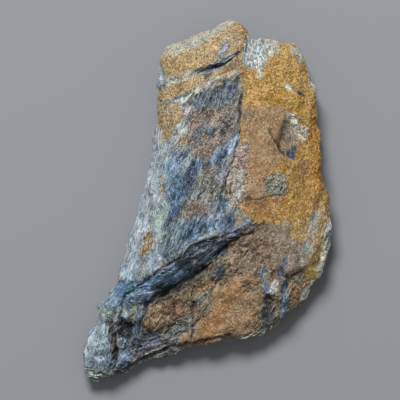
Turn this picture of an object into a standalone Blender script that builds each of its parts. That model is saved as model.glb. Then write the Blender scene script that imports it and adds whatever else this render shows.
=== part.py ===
"""Raw pietersite: one broken slab of fibrous blue and gold rock, lying on its flatter side.

The slab lies with +Z up and +Y along its length. A flat blank is extruded from the plan outline and
remeshed into small even faces. Each point of the blank is then moved to the broken surface above or
below it, the walls are split into thin beds, the skin is furrowed along the fibres, and the patches
that the stone rests on are levelled. Last, the mesh is thinned and centred on the origin.

Plan points are in millimetres from the middle of the outline, and heights are millimetres above the
plane that the stone rests on.
"""

import math

import bpy
import numpy as np
from mathutils import Vector, noise

NAME = "raw_pietersite"
MM = 0.001  # one millimetre in Blender's metres

BLANK_THICKNESS = 20.0
BLANK_FACE = 0.8  # side of the blank's faces, which limits how sharp a ledge can be
STONE_TRIANGLES = 9600

# The edge of the slab seen from above, clockwise from its upper left corner.
OUTLINE = [
    (-12.1, 45.9), (-9.2, 48.0), (-3.3, 49.9), (2.5, 52.4), (6.8, 53.9), (9.4, 54.1),
    (11.5, 51.7), (12.4, 48.6), (14.2, 48.3), (16.0, 48.9), (17.2, 48.0), (20.8, 48.1),
    (26.5, 47.0), (28.1, 43.7), (30.4, 40.4), (31.2, 35.7), (33.0, 33.9), (33.0, 28.4),
    (33.7, 21.2), (34.8, 13.9), (34.6, 6.6), (36.6, 2.3), (37.2, -2.8), (36.6, -11.5),
    (36.3, -18.1), (34.4, -23.2), (32.6, -23.9), (30.8, -29.7), (27.9, -31.9), (22.8, -34.4),
    (21.0, -38.4), (14.1, -40.2), (6.8, -41.7), (-0.4, -43.2), (-7.7, -45.0), (-15.0, -47.9),
    (-20.1, -49.7), (-27.0, -52.2), (-31.0, -53.7), (-33.9, -54.1), (-36.1, -52.6),
    (-37.1, -50.1), (-36.9, -44.2), (-36.1, -39.9), (-33.9, -35.5), (-32.4, -31.2),
    (-30.2, -28.3), (-27.0, -24.6), (-26.9, -21.7), (-24.8, -16.6), (-22.9, -7.9),
    (-20.8, -0.6), (-17.5, 11.0), (-16.1, 16.8), (-15.0, 22.6), (-15.1, 29.0), (-15.3, 32.1),
    (-14.6, 37.2), (-13.7, 42.9),
]

# Heights on the upper plate, the blue half of the slab, as (x, y, height). Its left flank falls
# steeply to the edge, and its right side is almost level.
PLATE_HEIGHTS = [
    (-12.5, 44.9, 17.5), (-2.0, 49.1, 20.0), (8.8, 52.7, 22.5), (11.5, 42.5, 23.5),
    (-2.0, 38.0, 23.0), (-14.0, 33.5, 15.5), (-9.2, 32.0, 21.0), (10.0, 27.5, 24.0),
    (-0.5, 26.0, 23.5), (-14.9, 23.0, 14.0), (-10.4, 21.5, 20.5), (-5.0, 18.5, 24.0),
    (8.2, 15.5, 24.5), (-16.7, 12.5, 12.5), (-11.6, 11.0, 20.5), (-7.1, 9.5, 25.0),
    (2.5, 6.5, 24.5), (-19.7, 0.5, 11.5), (-14.9, -1.0, 19.5), (-10.4, -2.5, 25.0),
    (-0.5, -4.0, 25.5), (8.5, -4.0, 24.0), (-22.1, -10.0, 11.0), (-17.6, -11.5, 19.0),
    (-12.5, -11.5, 24.5), (-5.0, -12.4, 25.5), (2.5, -10.3, 25.0), (13.0, -6.1, 23.0),
    (-25.7, -19.9, 9.5), (-21.5, -19.0, 16.5), (-16.4, -19.0, 21.5), (-23.9, -25.9, 14.5),
    (-26.6, -25.0, 10.5),
]

# Heights on the bench that the rest of the top lies on: the gold plate at the right, the brown
# ledge below the scarp, and the tip at the lower left.
BENCH_HEIGHTS = [
    (13.0, 47.0, 20.3), (19.0, 46.1, 18.8), (27.4, 44.0, 15.5), (14.5, 36.5, 22.3),
    (23.5, 33.5, 20.5), (31.6, 32.0, 15.5), (12.4, 24.5, 23.0), (22.0, 21.5, 21.5),
    (33.1, 21.5, 15.5), (13.0, 12.5, 23.3), (25.0, 11.0, 21.5), (34.3, 9.5, 15.0),
    (10.0, 3.5, 23.7), (23.5, 0.5, 21.5), (36.7, -2.5, 13.5), (32.5, -4.0, 18.0),
    (14.5, -4.0, 22.5), (25.0, -11.5, 20.5), (35.8, -14.5, 12.5), (31.6, -16.0, 16.5),
    (14.5, -11.5, 21.0), (22.0, -20.5, 18.5), (28.0, -21.1, 16.0), (34.6, -22.0, 10.5),
    (10.0, -18.1, 18.5), (2.5, -20.5, 17.0), (28.0, -29.5, 11.0), (19.0, -29.5, 15.0),
    (10.0, -29.5, 15.5), (-2.0, -29.5, 14.5), (19.6, -37.6, 9.5), (10.0, -40.0, 10.5),
    (-0.5, -41.5, 10.5), (-8.0, -26.5, 13.0), (-17.0, -31.0, 12.5), (-9.5, -43.0, 9.5),
    (-17.0, -41.5, 10.5), (-23.0, -44.5, 9.5), (-24.5, -32.5, 13.0), (-30.5, -35.5, 12.0),
    (-35.6, -43.0, 9.5), (-32.0, -44.5, 12.5), (-33.5, -52.0, 7.5), (-27.5, -51.1, 8.5),
    (-20.0, -49.0, 7.0), (-30.5, -29.5, 11.0),
]

# The scarp drops from the brow of the upper plate to its foot on the bench. The two lines lie
# close together at the right of the plate, where the drop is upright, and spread below it.
PLATE_BROW = [
    (11.9, 56.0), (11.9, 42.5), (11.3, 36.5), (10.9, 29.0), (10.3, 23.0), (9.1, 18.5),
    (7.0, 13.1), (6.1, 9.2), (5.8, 4.7), (8.2, 1.1), (12.1, -1.9), (15.1, -6.1), (14.6, -6.6),
    (10.3, -8.4), (4.2, -10.5), (2.4, -10.8), (-2.5, -12.7), (-5.9, -14.7), (-8.2, -16.5),
    (-11.6, -18.3), (-15.2, -20.5), (-18.5, -22.9), (-23.6, -26.7), (-28.4, -27.1),
    (-32.0, -25.0), (-32.0, 0.5), (-20.0, 42.5), (-14.0, 56.0),
]
PLATE_FOOT = [
    (12.4, 56.0), (12.4, 42.5), (11.8, 36.5), (11.4, 29.0), (10.8, 23.0), (9.6, 18.5),
    (7.5, 13.1), (6.6, 9.2), (6.4, 4.7), (8.8, 1.4), (12.7, -1.3), (16.0, -6.1), (15.1, -8.2),
    (11.8, -10.2), (7.9, -11.2), (5.7, -13.3), (1.1, -17.9), (-1.9, -19.9), (-5.0, -22.3),
    (-8.0, -25.0), (-11.6, -26.6), (-15.1, -28.0), (-18.1, -30.3), (-22.4, -30.7),
    (-26.6, -28.3), (-32.6, -26.5), (-32.6, 0.5), (-20.6, 42.5), (-14.6, 56.0),
]

# Lesser ledges and hollows: name, rise (below 0 for a hollow), width of the edge, outline.
SHELVES = [
    ("top terrace", 1.0, 1.0, [
        (-14.0, 48.5), (9.4, 55.1), (10.6, 45.5), (5.8, 41.9), (-0.5, 39.8), (-5.0, 37.7),
        (-15.5, 34.1)]),
    ("slit under the terrace", -1.3, 1.5, [
        (9.4, 44.6), (6.4, 41.3), (4.6, 38.9), (1.3, 38.3), (-0.5, 35.3), (-1.4, 37.7),
        (-5.0, 37.4), (0.1, 40.1), (4.6, 41.9)]),
    ("blue hollow", -0.5, 1.5, [
        (10.9, 38.9), (10.9, 26.9), (5.5, 25.7), (-0.5, 26.9), (-4.4, 28.1), (-3.2, 32.0),
        (0.4, 35.3), (5.8, 36.5)]),
    ("brown plate", 1.0, 1.2, [
        (11.2, 28.4), (19.0, 28.4), (25.3, 26.9), (22.9, 23.9), (21.4, 18.5), (24.4, 12.8),
        (23.2, 8.9), (22.9, 0.8), (15.4, 0.5), (10.9, -0.4), (7.6, 1.4), (5.5, 4.4), (5.5, 9.2),
        (6.4, 13.1), (8.5, 18.5), (10.4, 23.0)]),
    ("pit beside the brown plate", -2.0, 1.4, [
        (23.6, 24.8), (26.8, 26.0), (28.9, 24.2), (29.8, 20.9), (27.4, 18.8), (26.9, 12.8),
        (24.9, 11.9), (23.2, 14.3), (21.1, 18.8), (22.6, 21.5)]),
    ("brown block", 1.6, 1.2, [
        (-18.2, -30.4), (-14.6, -28.3), (-11.0, -27.1), (-5.0, -25.6), (-3.8, -29.5),
        (-3.8, -40.9), (-8.6, -43.3), (-12.5, -41.5), (-17.0, -37.9), (-19.4, -40.0),
        (-20.6, -35.5)]),
    ("blue foot of the block", -1.2, 1.2, [
        (-19.4, -40.0), (-12.5, -37.0), (-5.0, -34.9), (-4.4, -41.5), (-17.0, -45.1),
        (-22.4, -44.5)]),
    ("hole behind the tip", -3.6, 2.2, [
        (-26.3, -36.1), (-23.0, -34.9), (-20.3, -36.1), (-20.6, -39.4), (-22.7, -42.1),
        (-25.4, -40.3)]),
    ("knob on the ledge", 1.8, 1.2, [
        (1.3, -18.1), (3.7, -16.9), (4.9, -19.3), (4.6, -22.3), (2.2, -23.5), (0.7, -21.4)]),
    ("crystal face", 1.2, 1.0, [
        (20.2, -23.2), (21.4, -24.4), (20.2, -27.7), (18.7, -27.1)]),
    ("corner block", -2.0, 1.2, [
        (23.8, -22.6), (27.4, -21.1), (29.8, -20.5), (34.6, -23.2), (35.2, -29.5),
        (28.0, -35.5), (23.2, -36.1), (23.8, -29.5)]),
    ("grey step", -1.2, 1.2, [
        (16.6, -29.2), (19.0, -28.6), (21.4, -30.1), (22.9, -40.0), (16.6, -41.5)]),
    ("lower lip", -2.2, 1.2, [
        (-29.6, -55.9), (-28.4, -52.2), (-20.0, -47.6), (-14.0, -44.7), (-7.7, -43.1),
        (-0.5, -41.8), (-0.5, -45.1), (-8.0, -47.5), (-17.0, -51.1), (-26.0, -55.9)]),
]

# Open cracks: name, width, depth, line.
CRACKS = [
    ("crack across the tip", 1.7, 3.2, [
        (-29.6, -36.1), (-28.4, -39.4), (-27.8, -43.9), (-27.5, -48.1), (-26.9, -52.9)]),
    ("crack round the grey step", 1.6, 1.6, [
        (16.3, -26.2), (18.4, -28.3), (21.1, -29.8), (21.7, -34.0)]),
    ("crack over the corner block", 1.6, 1.6, [
        (23.2, -22.3), (25.6, -21.7), (28.0, -20.8), (29.8, -20.2)]),
]

# Which way the fibres run: plan point, then the angle from +X in degrees.
FIBRE_RUNS = [
    (-4.0, 42.0, 28.0), (2.0, 30.0, 62.0), (-12.0, 10.0, 72.0), (-4.0, 0.0, 70.0),
    (-6.0, -19.0, 34.0), (22.0, 35.0, 84.0), (18.0, 10.0, 60.0), (30.0, -8.0, 76.0),
    (8.0, -27.0, 48.0), (-12.0, -36.0, 58.0), (-32.0, -45.0, 8.0), (24.0, -27.0, 70.0),
]
FURROW_WIDTH, FURROW_LENGTH, FURROW_DEPTH = 2.6, 16.0, 0.45

RIM_WIDTH, RIM_DROP = 2.0, 1.4  # the worn edges between the walls and the top and underside
SCARP_EDGE = 0.4  # how far the scarp's brow and foot are rounded off
LIFT_WIDTH, LIFT_SHARE = 10.0, 0.22  # the underside lifts off the ground towards the edge
LEAST_THICKNESS = 2.5
UNDERSIDE_LUMP_SIZE, UNDERSIDE_LUMP, SETTLING = 15.0, 3.4, 0.1
BEARING_RADIUS, BEARING_DEPTH = 15.0, 2.5  # the underside's middle, which is sure to touch the ground
BED_THICKNESS, BED_DEPTH = 3.0, 1.3  # the beds that show as ledges in the walls
STEP_HEIGHT, STEP_DEPTH = 4.0, 0.8  # the same beds, where the top slopes steeply down
STEP_WANDER, STEP_LENGTH = 2.0, 24.0  # how unevenly they run, and about how far each one goes
LUMP_SIZE, LUMP_HEIGHT = 7.0, 0.7
EDGE_WANDER_SIZE, EDGE_WANDER = 4.0, 0.6  # how far a ledge's edge strays from its outline


def clear_scene():
    for thing in list(bpy.data.objects):
        bpy.data.objects.remove(thing)


def collection(name):
    made = bpy.data.collections.new(name)
    bpy.context.scene.collection.children.link(made)
    return made


def smooth_noise(points, size, seed=0.0):
    """Noise from about -0.5 to 0.5 whose lumps are `size` across. Size is a number, or one per axis."""
    scaled = points / np.broadcast_to(size, points.shape)
    return np.array([noise.noise(Vector(point) + Vector((seed, seed, seed))) for point in scaled])


def ease(value):
    """0 below 0, 1 above 1, and a smooth ramp between."""
    share = np.clip(value, 0.0, 1.0)
    return share * share * (3.0 - 2.0 * share)


def line_distance(plan, line):
    """Distance from each plan point to a line of straight stretches."""
    nearest = np.full(len(plan), np.inf)
    for start, end in zip(line[:-1], line[1:]):
        run = np.subtract(end, start)
        share = np.clip((plan - start) @ run / (run @ run), 0.0, 1.0)
        nearest = np.minimum(nearest, np.linalg.norm(plan - start - share[:, None] * run, axis=1))
    return nearest


def inside_distance(plan, outline):
    """Distance from each plan point to a closed outline, below 0 outside it."""
    distance = line_distance(plan, [*outline, outline[0]])
    inside = np.zeros(len(plan), bool)
    x, y = plan.T
    for (x0, y0), (x1, y1) in zip(outline, [*outline[1:], outline[0]]):
        if y0 != y1:
            inside ^= ((y0 > y) != (y1 > y)) & (x < x0 + (y - y0) / (y1 - y0) * (x1 - x0))
    return np.where(inside, distance, -distance)


def sheet_height(plan, heights):
    """Height of the smoothest sheet (a thin-plate spline) that passes through the given heights."""
    known = np.array(heights)
    count = len(known)

    def stiffness(points):
        gap = ((points[:, None] - known[None, :, :2]) ** 2).sum(axis=2)
        return gap * np.log(gap + 1e-9)

    def slopes(points):
        return np.c_[np.ones(len(points)), points]

    system = np.zeros((count + 3, count + 3))
    system[:count, :count] = stiffness(known[:, :2])
    system[:count, count:] = slopes(known[:, :2])
    system[count:, :count] = slopes(known[:, :2]).T
    weights = np.linalg.solve(system, np.r_[known[:, 2], np.zeros(3)])
    return stiffness(plan) @ weights[:count] + slopes(plan) @ weights[count:]


def furrows(points):
    """Long shallow furrows, each along the fibres of the nearest run."""
    runs = np.array(FIBRE_RUNS)
    closeness = 1.0 / (((points[:, None, :2] - runs[None, :, :2]) ** 2).sum(axis=2) + 1.0) ** 3
    closeness /= closeness.sum(axis=1, keepdims=True)
    total = np.zeros(len(points))
    for share, angle in zip(closeness.T, np.radians(runs[:, 2])):
        along = points[:, 0] * math.cos(angle) + points[:, 1] * math.sin(angle)
        across = points[:, 1] * math.cos(angle) - points[:, 0] * math.sin(angle)
        grain = np.c_[along / FURROW_LENGTH, across / FURROW_WIDTH, points[:, 2] / FURROW_LENGTH]
        total += share * smooth_noise(grain, 1.0, seed=angle)
    return total


def strayed(plan):
    """The plan points moved a little at random, so that an outline tested with them has a rough edge."""
    flat = np.c_[plan, np.zeros(len(plan))]
    wander = np.c_[smooth_noise(flat, EDGE_WANDER_SIZE, 3.0), smooth_noise(flat, EDGE_WANDER_SIZE, 8.0)]
    return plan + 2.0 * EDGE_WANDER * wander


def broad_height(plan):
    """Height of the two sheets that make the top, joined by the scarp."""
    rough = strayed(plan)
    above_foot = inside_distance(rough, PLATE_FOOT) + SCARP_EDGE
    below_brow = SCARP_EDGE - inside_distance(rough, PLATE_BROW)
    climb = ease(above_foot / np.maximum(above_foot + below_brow, 0.1))
    bench = sheet_height(plan, BENCH_HEIGHTS)
    return bench + climb * (sheet_height(plan, PLATE_HEIGHTS) - bench)


def flank_steps(plan, height):
    """Small broken steps on the steep flanks, where the beds come to the surface."""
    slope = np.hypot(broad_height(plan + (1.0, 0.0)) - height, broad_height(plan + (0.0, 1.0)) - height)
    flat = np.c_[plan, np.zeros(len(plan))]
    wander = STEP_WANDER * smooth_noise(flat, STEP_LENGTH, 31.0)
    presence = ease(1.8 * smooth_noise(flat, 0.5 * STEP_LENGTH, 37.0) + 0.5)
    wave = np.sin(math.tau * (height / STEP_HEIGHT + wander))
    return -STEP_DEPTH * presence * ease(2.0 * slope - 0.6) * wave


def top_height(plan):
    """Height of the broken upper surface, with its ledges, hollows and cracks."""
    height = broad_height(plan)
    height += flank_steps(plan, height)
    rough = strayed(plan)
    for _, rise, edge, outline in SHELVES:
        height += rise * ease(inside_distance(rough, outline) / edge + 0.5)
    for _, width, depth, line in CRACKS:
        height -= depth * ease(1.0 - line_distance(rough, line) / (0.5 * width))
    return height


def blank_slab():
    """A flat slab of even small faces, cut to the outline: a filled curve, made a mesh and remeshed."""
    curve = bpy.data.curves.new("blank", "CURVE")
    curve.dimensions = "2D"
    curve.fill_mode = "BOTH"
    curve.extrude = 0.5 * BLANK_THICKNESS * MM
    spline = curve.splines.new("POLY")
    spline.points.add(len(OUTLINE) - 1)
    for point, (x, y) in zip(spline.points, OUTLINE):
        point.co = (x * MM, y * MM, 0.0, 1.0)
    spline.use_cyclic_u = True
    blank = bpy.data.objects.new("blank", curve)
    bpy.context.scene.collection.objects.link(blank)
    weld = blank.modifiers.new("weld the caps", "WELD")
    weld.merge_threshold = 0.00001
    remesh = blank.modifiers.new("even faces", "REMESH")
    remesh.mode = "VOXEL"
    remesh.voxel_size = BLANK_FACE * MM
    graph = bpy.context.evaluated_depsgraph_get()
    mesh = bpy.data.meshes.new_from_object(blank.evaluated_get(graph))
    bpy.data.objects.remove(blank)
    return mesh


def mesh_numbers(items, name):
    found = np.empty(len(items) * 3, np.float32)
    items.foreach_get(name, found)
    return found.reshape(-1, 3).astype(float)


def break_surface(mesh):
    """Moves the blank's points to the broken top, underside and walls, and roughens the skin.

    Whatever would reach below the resting plane is levelled to it, so the stone lies on flat patches.
    """
    points = mesh_numbers(mesh.vertices, "co") / MM
    facing = mesh_numbers(mesh.vertex_normals, "vector")
    plan = points[:, :2]
    level = np.clip(points[:, 2] / BLANK_THICKNESS + 0.5, 0.0, 1.0)
    depth_in = np.maximum(inside_distance(plan, OUTLINE), 0.0)

    height = top_height(plan)
    worn = RIM_DROP * (1.0 - ease(depth_in / RIM_WIDTH))
    lifted = LIFT_SHARE * height * np.clip(1.0 - depth_in / LIFT_WIDTH, 0.0, 1.0) ** 2
    lumps = UNDERSIDE_LUMP * smooth_noise(np.c_[plan, 0.0 * level], UNDERSIDE_LUMP_SIZE, 5.0)
    bearing = BEARING_DEPTH * ease(1.5 * (1.0 - np.linalg.norm(plan, axis=1) / BEARING_RADIUS))
    underside = worn + lifted + lumps - SETTLING - bearing
    thickness = np.maximum(height - worn - underside, LEAST_THICKNESS)
    points[:, 2] = underside + level * thickness

    wall = ease(1.6 * (1.0 - np.abs(facing[:, 2])))
    beds = smooth_noise(points, (11.0, 11.0, BED_THICKNESS), 12.0)
    inward = BED_DEPTH * wall * ease(2.5 * beds + 0.5)
    points[:, :2] -= inward[:, None] * facing[:, :2]

    lumps = LUMP_HEIGHT * smooth_noise(points, LUMP_SIZE, 21.0)
    push = lumps + 2.0 * FURROW_DEPTH * furrows(points)
    points += push[:, None] * facing
    points[:, 2] = np.maximum(points[:, 2], 0.0)
    mesh.vertices.foreach_set("co", (points * MM).astype(np.float32).ravel())
    mesh.update()


def rock_material():
    rock = bpy.data.materials.new("blue_gold_rock")
    rock.use_nodes = True
    shader = rock.node_tree.nodes["Principled BSDF"]
    shader.inputs["Base Color"].default_value = (0.27, 0.22, 0.16, 1.0)
    shader.inputs["Roughness"].default_value = 0.7
    shader.inputs["Metallic"].default_value = 0.0
    return rock


def centre_on_origin(stone):
    """Sets the middle of the stone's box over the origin, and its lowest point at height 0."""
    graph = bpy.context.evaluated_depsgraph_get()
    mesh = stone.evaluated_get(graph).to_mesh()
    points = mesh_numbers(mesh.vertices, "co")
    middle = 0.5 * (points.min(axis=0) + points.max(axis=0))
    stone.location = (-middle[0], -middle[1], -points[:, 2].min())


def build():
    clear_scene()
    stone_parts = collection(NAME)
    mesh = blank_slab()
    break_surface(mesh)
    mesh.name = NAME
    mesh.materials.append(rock_material())

    stone = bpy.data.objects.new(NAME, mesh)
    stone_parts.objects.link(stone)
    thin = stone.modifiers.new("fewer faces", "DECIMATE")
    thin.ratio = STONE_TRIANGLES / (2.0 * len(mesh.polygons))
    bpy.context.view_layer.update()
    centre_on_origin(stone)


build()
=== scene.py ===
# %% [markdown]
# # Raw pietersite: what the broken stone looks like
# Pietersite is chalcedony full of blue, grey and gold mineral fibres, broken up and healed many times.
# This stone is one slab of it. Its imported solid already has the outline, the two plates, the scarp
# between them and the deep cracks. This script adds what an eye finds from closer: fibres, thin
# ledges, sugary crusts and the colour of each vein. Lengths are in millimetres until they reach
# Blender, because a stone's details are about that size.

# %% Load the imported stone
import math

import bpy
import numpy as np
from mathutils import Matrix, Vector, noise


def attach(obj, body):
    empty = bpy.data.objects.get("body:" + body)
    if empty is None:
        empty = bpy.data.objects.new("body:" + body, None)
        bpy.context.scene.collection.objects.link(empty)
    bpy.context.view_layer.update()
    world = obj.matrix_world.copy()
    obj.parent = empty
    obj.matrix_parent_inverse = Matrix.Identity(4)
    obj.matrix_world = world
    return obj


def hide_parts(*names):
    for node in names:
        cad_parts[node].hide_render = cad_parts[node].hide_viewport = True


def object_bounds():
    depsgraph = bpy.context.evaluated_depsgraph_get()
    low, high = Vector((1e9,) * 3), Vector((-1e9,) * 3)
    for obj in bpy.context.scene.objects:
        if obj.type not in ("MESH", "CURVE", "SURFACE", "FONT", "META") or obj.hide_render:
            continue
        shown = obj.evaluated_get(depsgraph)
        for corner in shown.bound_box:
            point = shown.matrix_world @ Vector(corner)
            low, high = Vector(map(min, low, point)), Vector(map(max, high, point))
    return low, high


MM = 0.001  # one millimetre in metres
NODE = "raw_pietersite"

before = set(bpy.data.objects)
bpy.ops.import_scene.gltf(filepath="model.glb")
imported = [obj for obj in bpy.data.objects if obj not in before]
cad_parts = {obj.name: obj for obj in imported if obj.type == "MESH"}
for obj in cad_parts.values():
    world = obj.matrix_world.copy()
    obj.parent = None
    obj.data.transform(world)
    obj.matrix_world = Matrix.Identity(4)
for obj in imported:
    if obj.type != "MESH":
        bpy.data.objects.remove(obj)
cad_low, cad_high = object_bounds()
print("solid stone, mm:", [round(side / MM, 1) for side in cad_high - cad_low])

# %% [markdown]
# ## A skin that can hold fine relief
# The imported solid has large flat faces, which is right for physics and wrong for a rock. It could be
# subdivided, but its long thin triangles would stay long and thin. A voxel Remesh modifier instead
# wraps a new skin of small even squares round it, so every later step finds a point to move about
# every half millimetre. A few gentle rounds of averaging then take off the flat facets.

# %% Wrap the skin
SKIN_VOXEL, WELD_GAP = 0.47, 0.001
SMOOTHING_ROUNDS, SMOOTHING_SHARE = 4, 0.5


def read_vectors(items, name):
    """One x, y, z row for each item, such as the places of a mesh's points."""
    found = np.empty(len(items) * 3, np.float32)
    items.foreach_get(name, found)
    return found.reshape(-1, 3).astype(float)


def write_places(mesh, places):
    mesh.vertices.foreach_set("co", (places * MM).astype(np.float32).ravel())
    mesh.update()


def link(name, data):
    made = bpy.data.objects.new(name, data)
    bpy.context.scene.collection.objects.link(made)
    return made


def wrap_skin():
    rough = link("rough_skin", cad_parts[NODE].data.copy())
    weld = rough.modifiers.new("close the mesh", "WELD")
    weld.merge_threshold = WELD_GAP * MM
    remesh = rough.modifiers.new("even skin", "REMESH")
    remesh.mode = "VOXEL"
    remesh.voxel_size = SKIN_VOXEL * MM
    graph = bpy.context.evaluated_depsgraph_get()
    mesh = bpy.data.meshes.new_from_object(rough.evaluated_get(graph))
    bpy.data.objects.remove(rough)
    mesh.name = "stone_skin"
    return mesh


def neighbour_average(mesh, values):
    """The mean of each point's neighbours along the mesh's edges."""
    ends = np.empty(len(mesh.edges) * 2, np.int32)
    mesh.edges.foreach_get("vertices", ends)
    ends = ends.reshape(-1, 2)
    starts = np.r_[ends[:, 0], ends[:, 1]]
    others = np.r_[ends[:, 1], ends[:, 0]]
    count = len(values)
    total = np.stack([np.bincount(starts, column[others], count) for column in values.T], axis=1)
    return total / np.maximum(np.bincount(starts, minlength=count), 1)[:, None]


skin_mesh = wrap_skin()
places = read_vectors(skin_mesh.vertices, "co") / MM
for _ in range(SMOOTHING_ROUNDS):
    places += SMOOTHING_SHARE * (neighbour_average(skin_mesh, places) - places)
write_places(skin_mesh, places)
facing = read_vectors(skin_mesh.vertex_normals, "vector")
print("skin points:", len(places), "faces:", len(skin_mesh.polygons))

# %% [markdown]
# ## Numbers for every point
# A shader can be told about a vein in two ways. It can be painted into an image, or each point of a
# dense mesh can carry the numbers itself, as attributes. The second way needs no image and follows
# the stone from every side, so it is the one used here. The helpers below measure distances to
# outlines and lines seen from above, and give smooth noise. Outlines and lines are typed in tenths of
# a millimetre, as x, y, x, y, which keeps long lists short.

# %% Helpers that work on all points at once
def ease(value):
    """0 below 0, 1 above 1, and a smooth ramp between."""
    share = np.clip(value, 0.0, 1.0)
    return share * share * (3.0 - 2.0 * share)


def at_least(low, share):
    """The share of something, raised so that it is never below `low`. It works on wires too."""
    return low + (1.0 - low) * share


def smooth_noise(points, size, seed=0.0):
    """Noise from about -0.5 to 0.5 whose lumps are `size` across."""
    scaled = points / np.broadcast_to(size, points.shape) + seed
    return np.array([noise.noise(Vector(point)) for point in scaled])


def line_distance(plan, line):
    """Distance from each plan point to a line of straight stretches."""
    nearest = np.full(len(plan), np.inf)
    for start, end in zip(line[:-1], line[1:]):
        run = np.subtract(end, start)
        share = np.clip((plan - start) @ run / (run @ run), 0.0, 1.0)
        nearest = np.minimum(nearest, np.linalg.norm(plan - start - share[:, None] * run, axis=1))
    return nearest


def inside_distance(plan, outline):
    """Distance from each plan point to a closed outline, below 0 outside it."""
    distance = line_distance(plan, [*outline, outline[0]])
    inside = np.zeros(len(plan), bool)
    x, y = plan.T
    for (x0, y0), (x1, y1) in zip(outline, [*outline[1:], outline[0]]):
        if y0 != y1:
            inside ^= ((y0 > y) != (y1 > y)) & (x < x0 + (y - y0) / (y1 - y0) * (x1 - x0))
    return np.where(inside, distance, -distance)


def wander(points, size, *seeds):
    """Smooth noise with one column for each seed, which bends borders and lines."""
    return np.stack([smooth_noise(points, size, seed) for seed in seeds], axis=1)


def points_mm(tenths):
    """Points typed as x, y, x, y in tenths of a millimetre, as one row each in millimetres."""
    return np.reshape(tenths, (-1, 2)) / 10.0


PLAN_SHIFT = (-0.098, -0.361)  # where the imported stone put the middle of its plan
plan = places[:, :2] - PLAN_SHIFT

# %% [markdown]
# ## The finishes of the minerals
# Every vein is made of the same few things: fibres lying side by side, grains like wet sugar, and
# blocky rubble. What changes is the colour, and how much there is of each. Within a vein the chips
# differ in lightness far more than in hue. So a finish is one colour, how much darker its hollows
# and how much lighter its crests are, and its shares of fibre and rubble. Colours are given as the
# 0 to 255 values that a colour picker shows, and turned into the linear light that Blender needs.
# Three short tables then say what is unusual: veins whose fibres wander, veins that are worn smooth,
# and veins with many shining grains.

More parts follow.
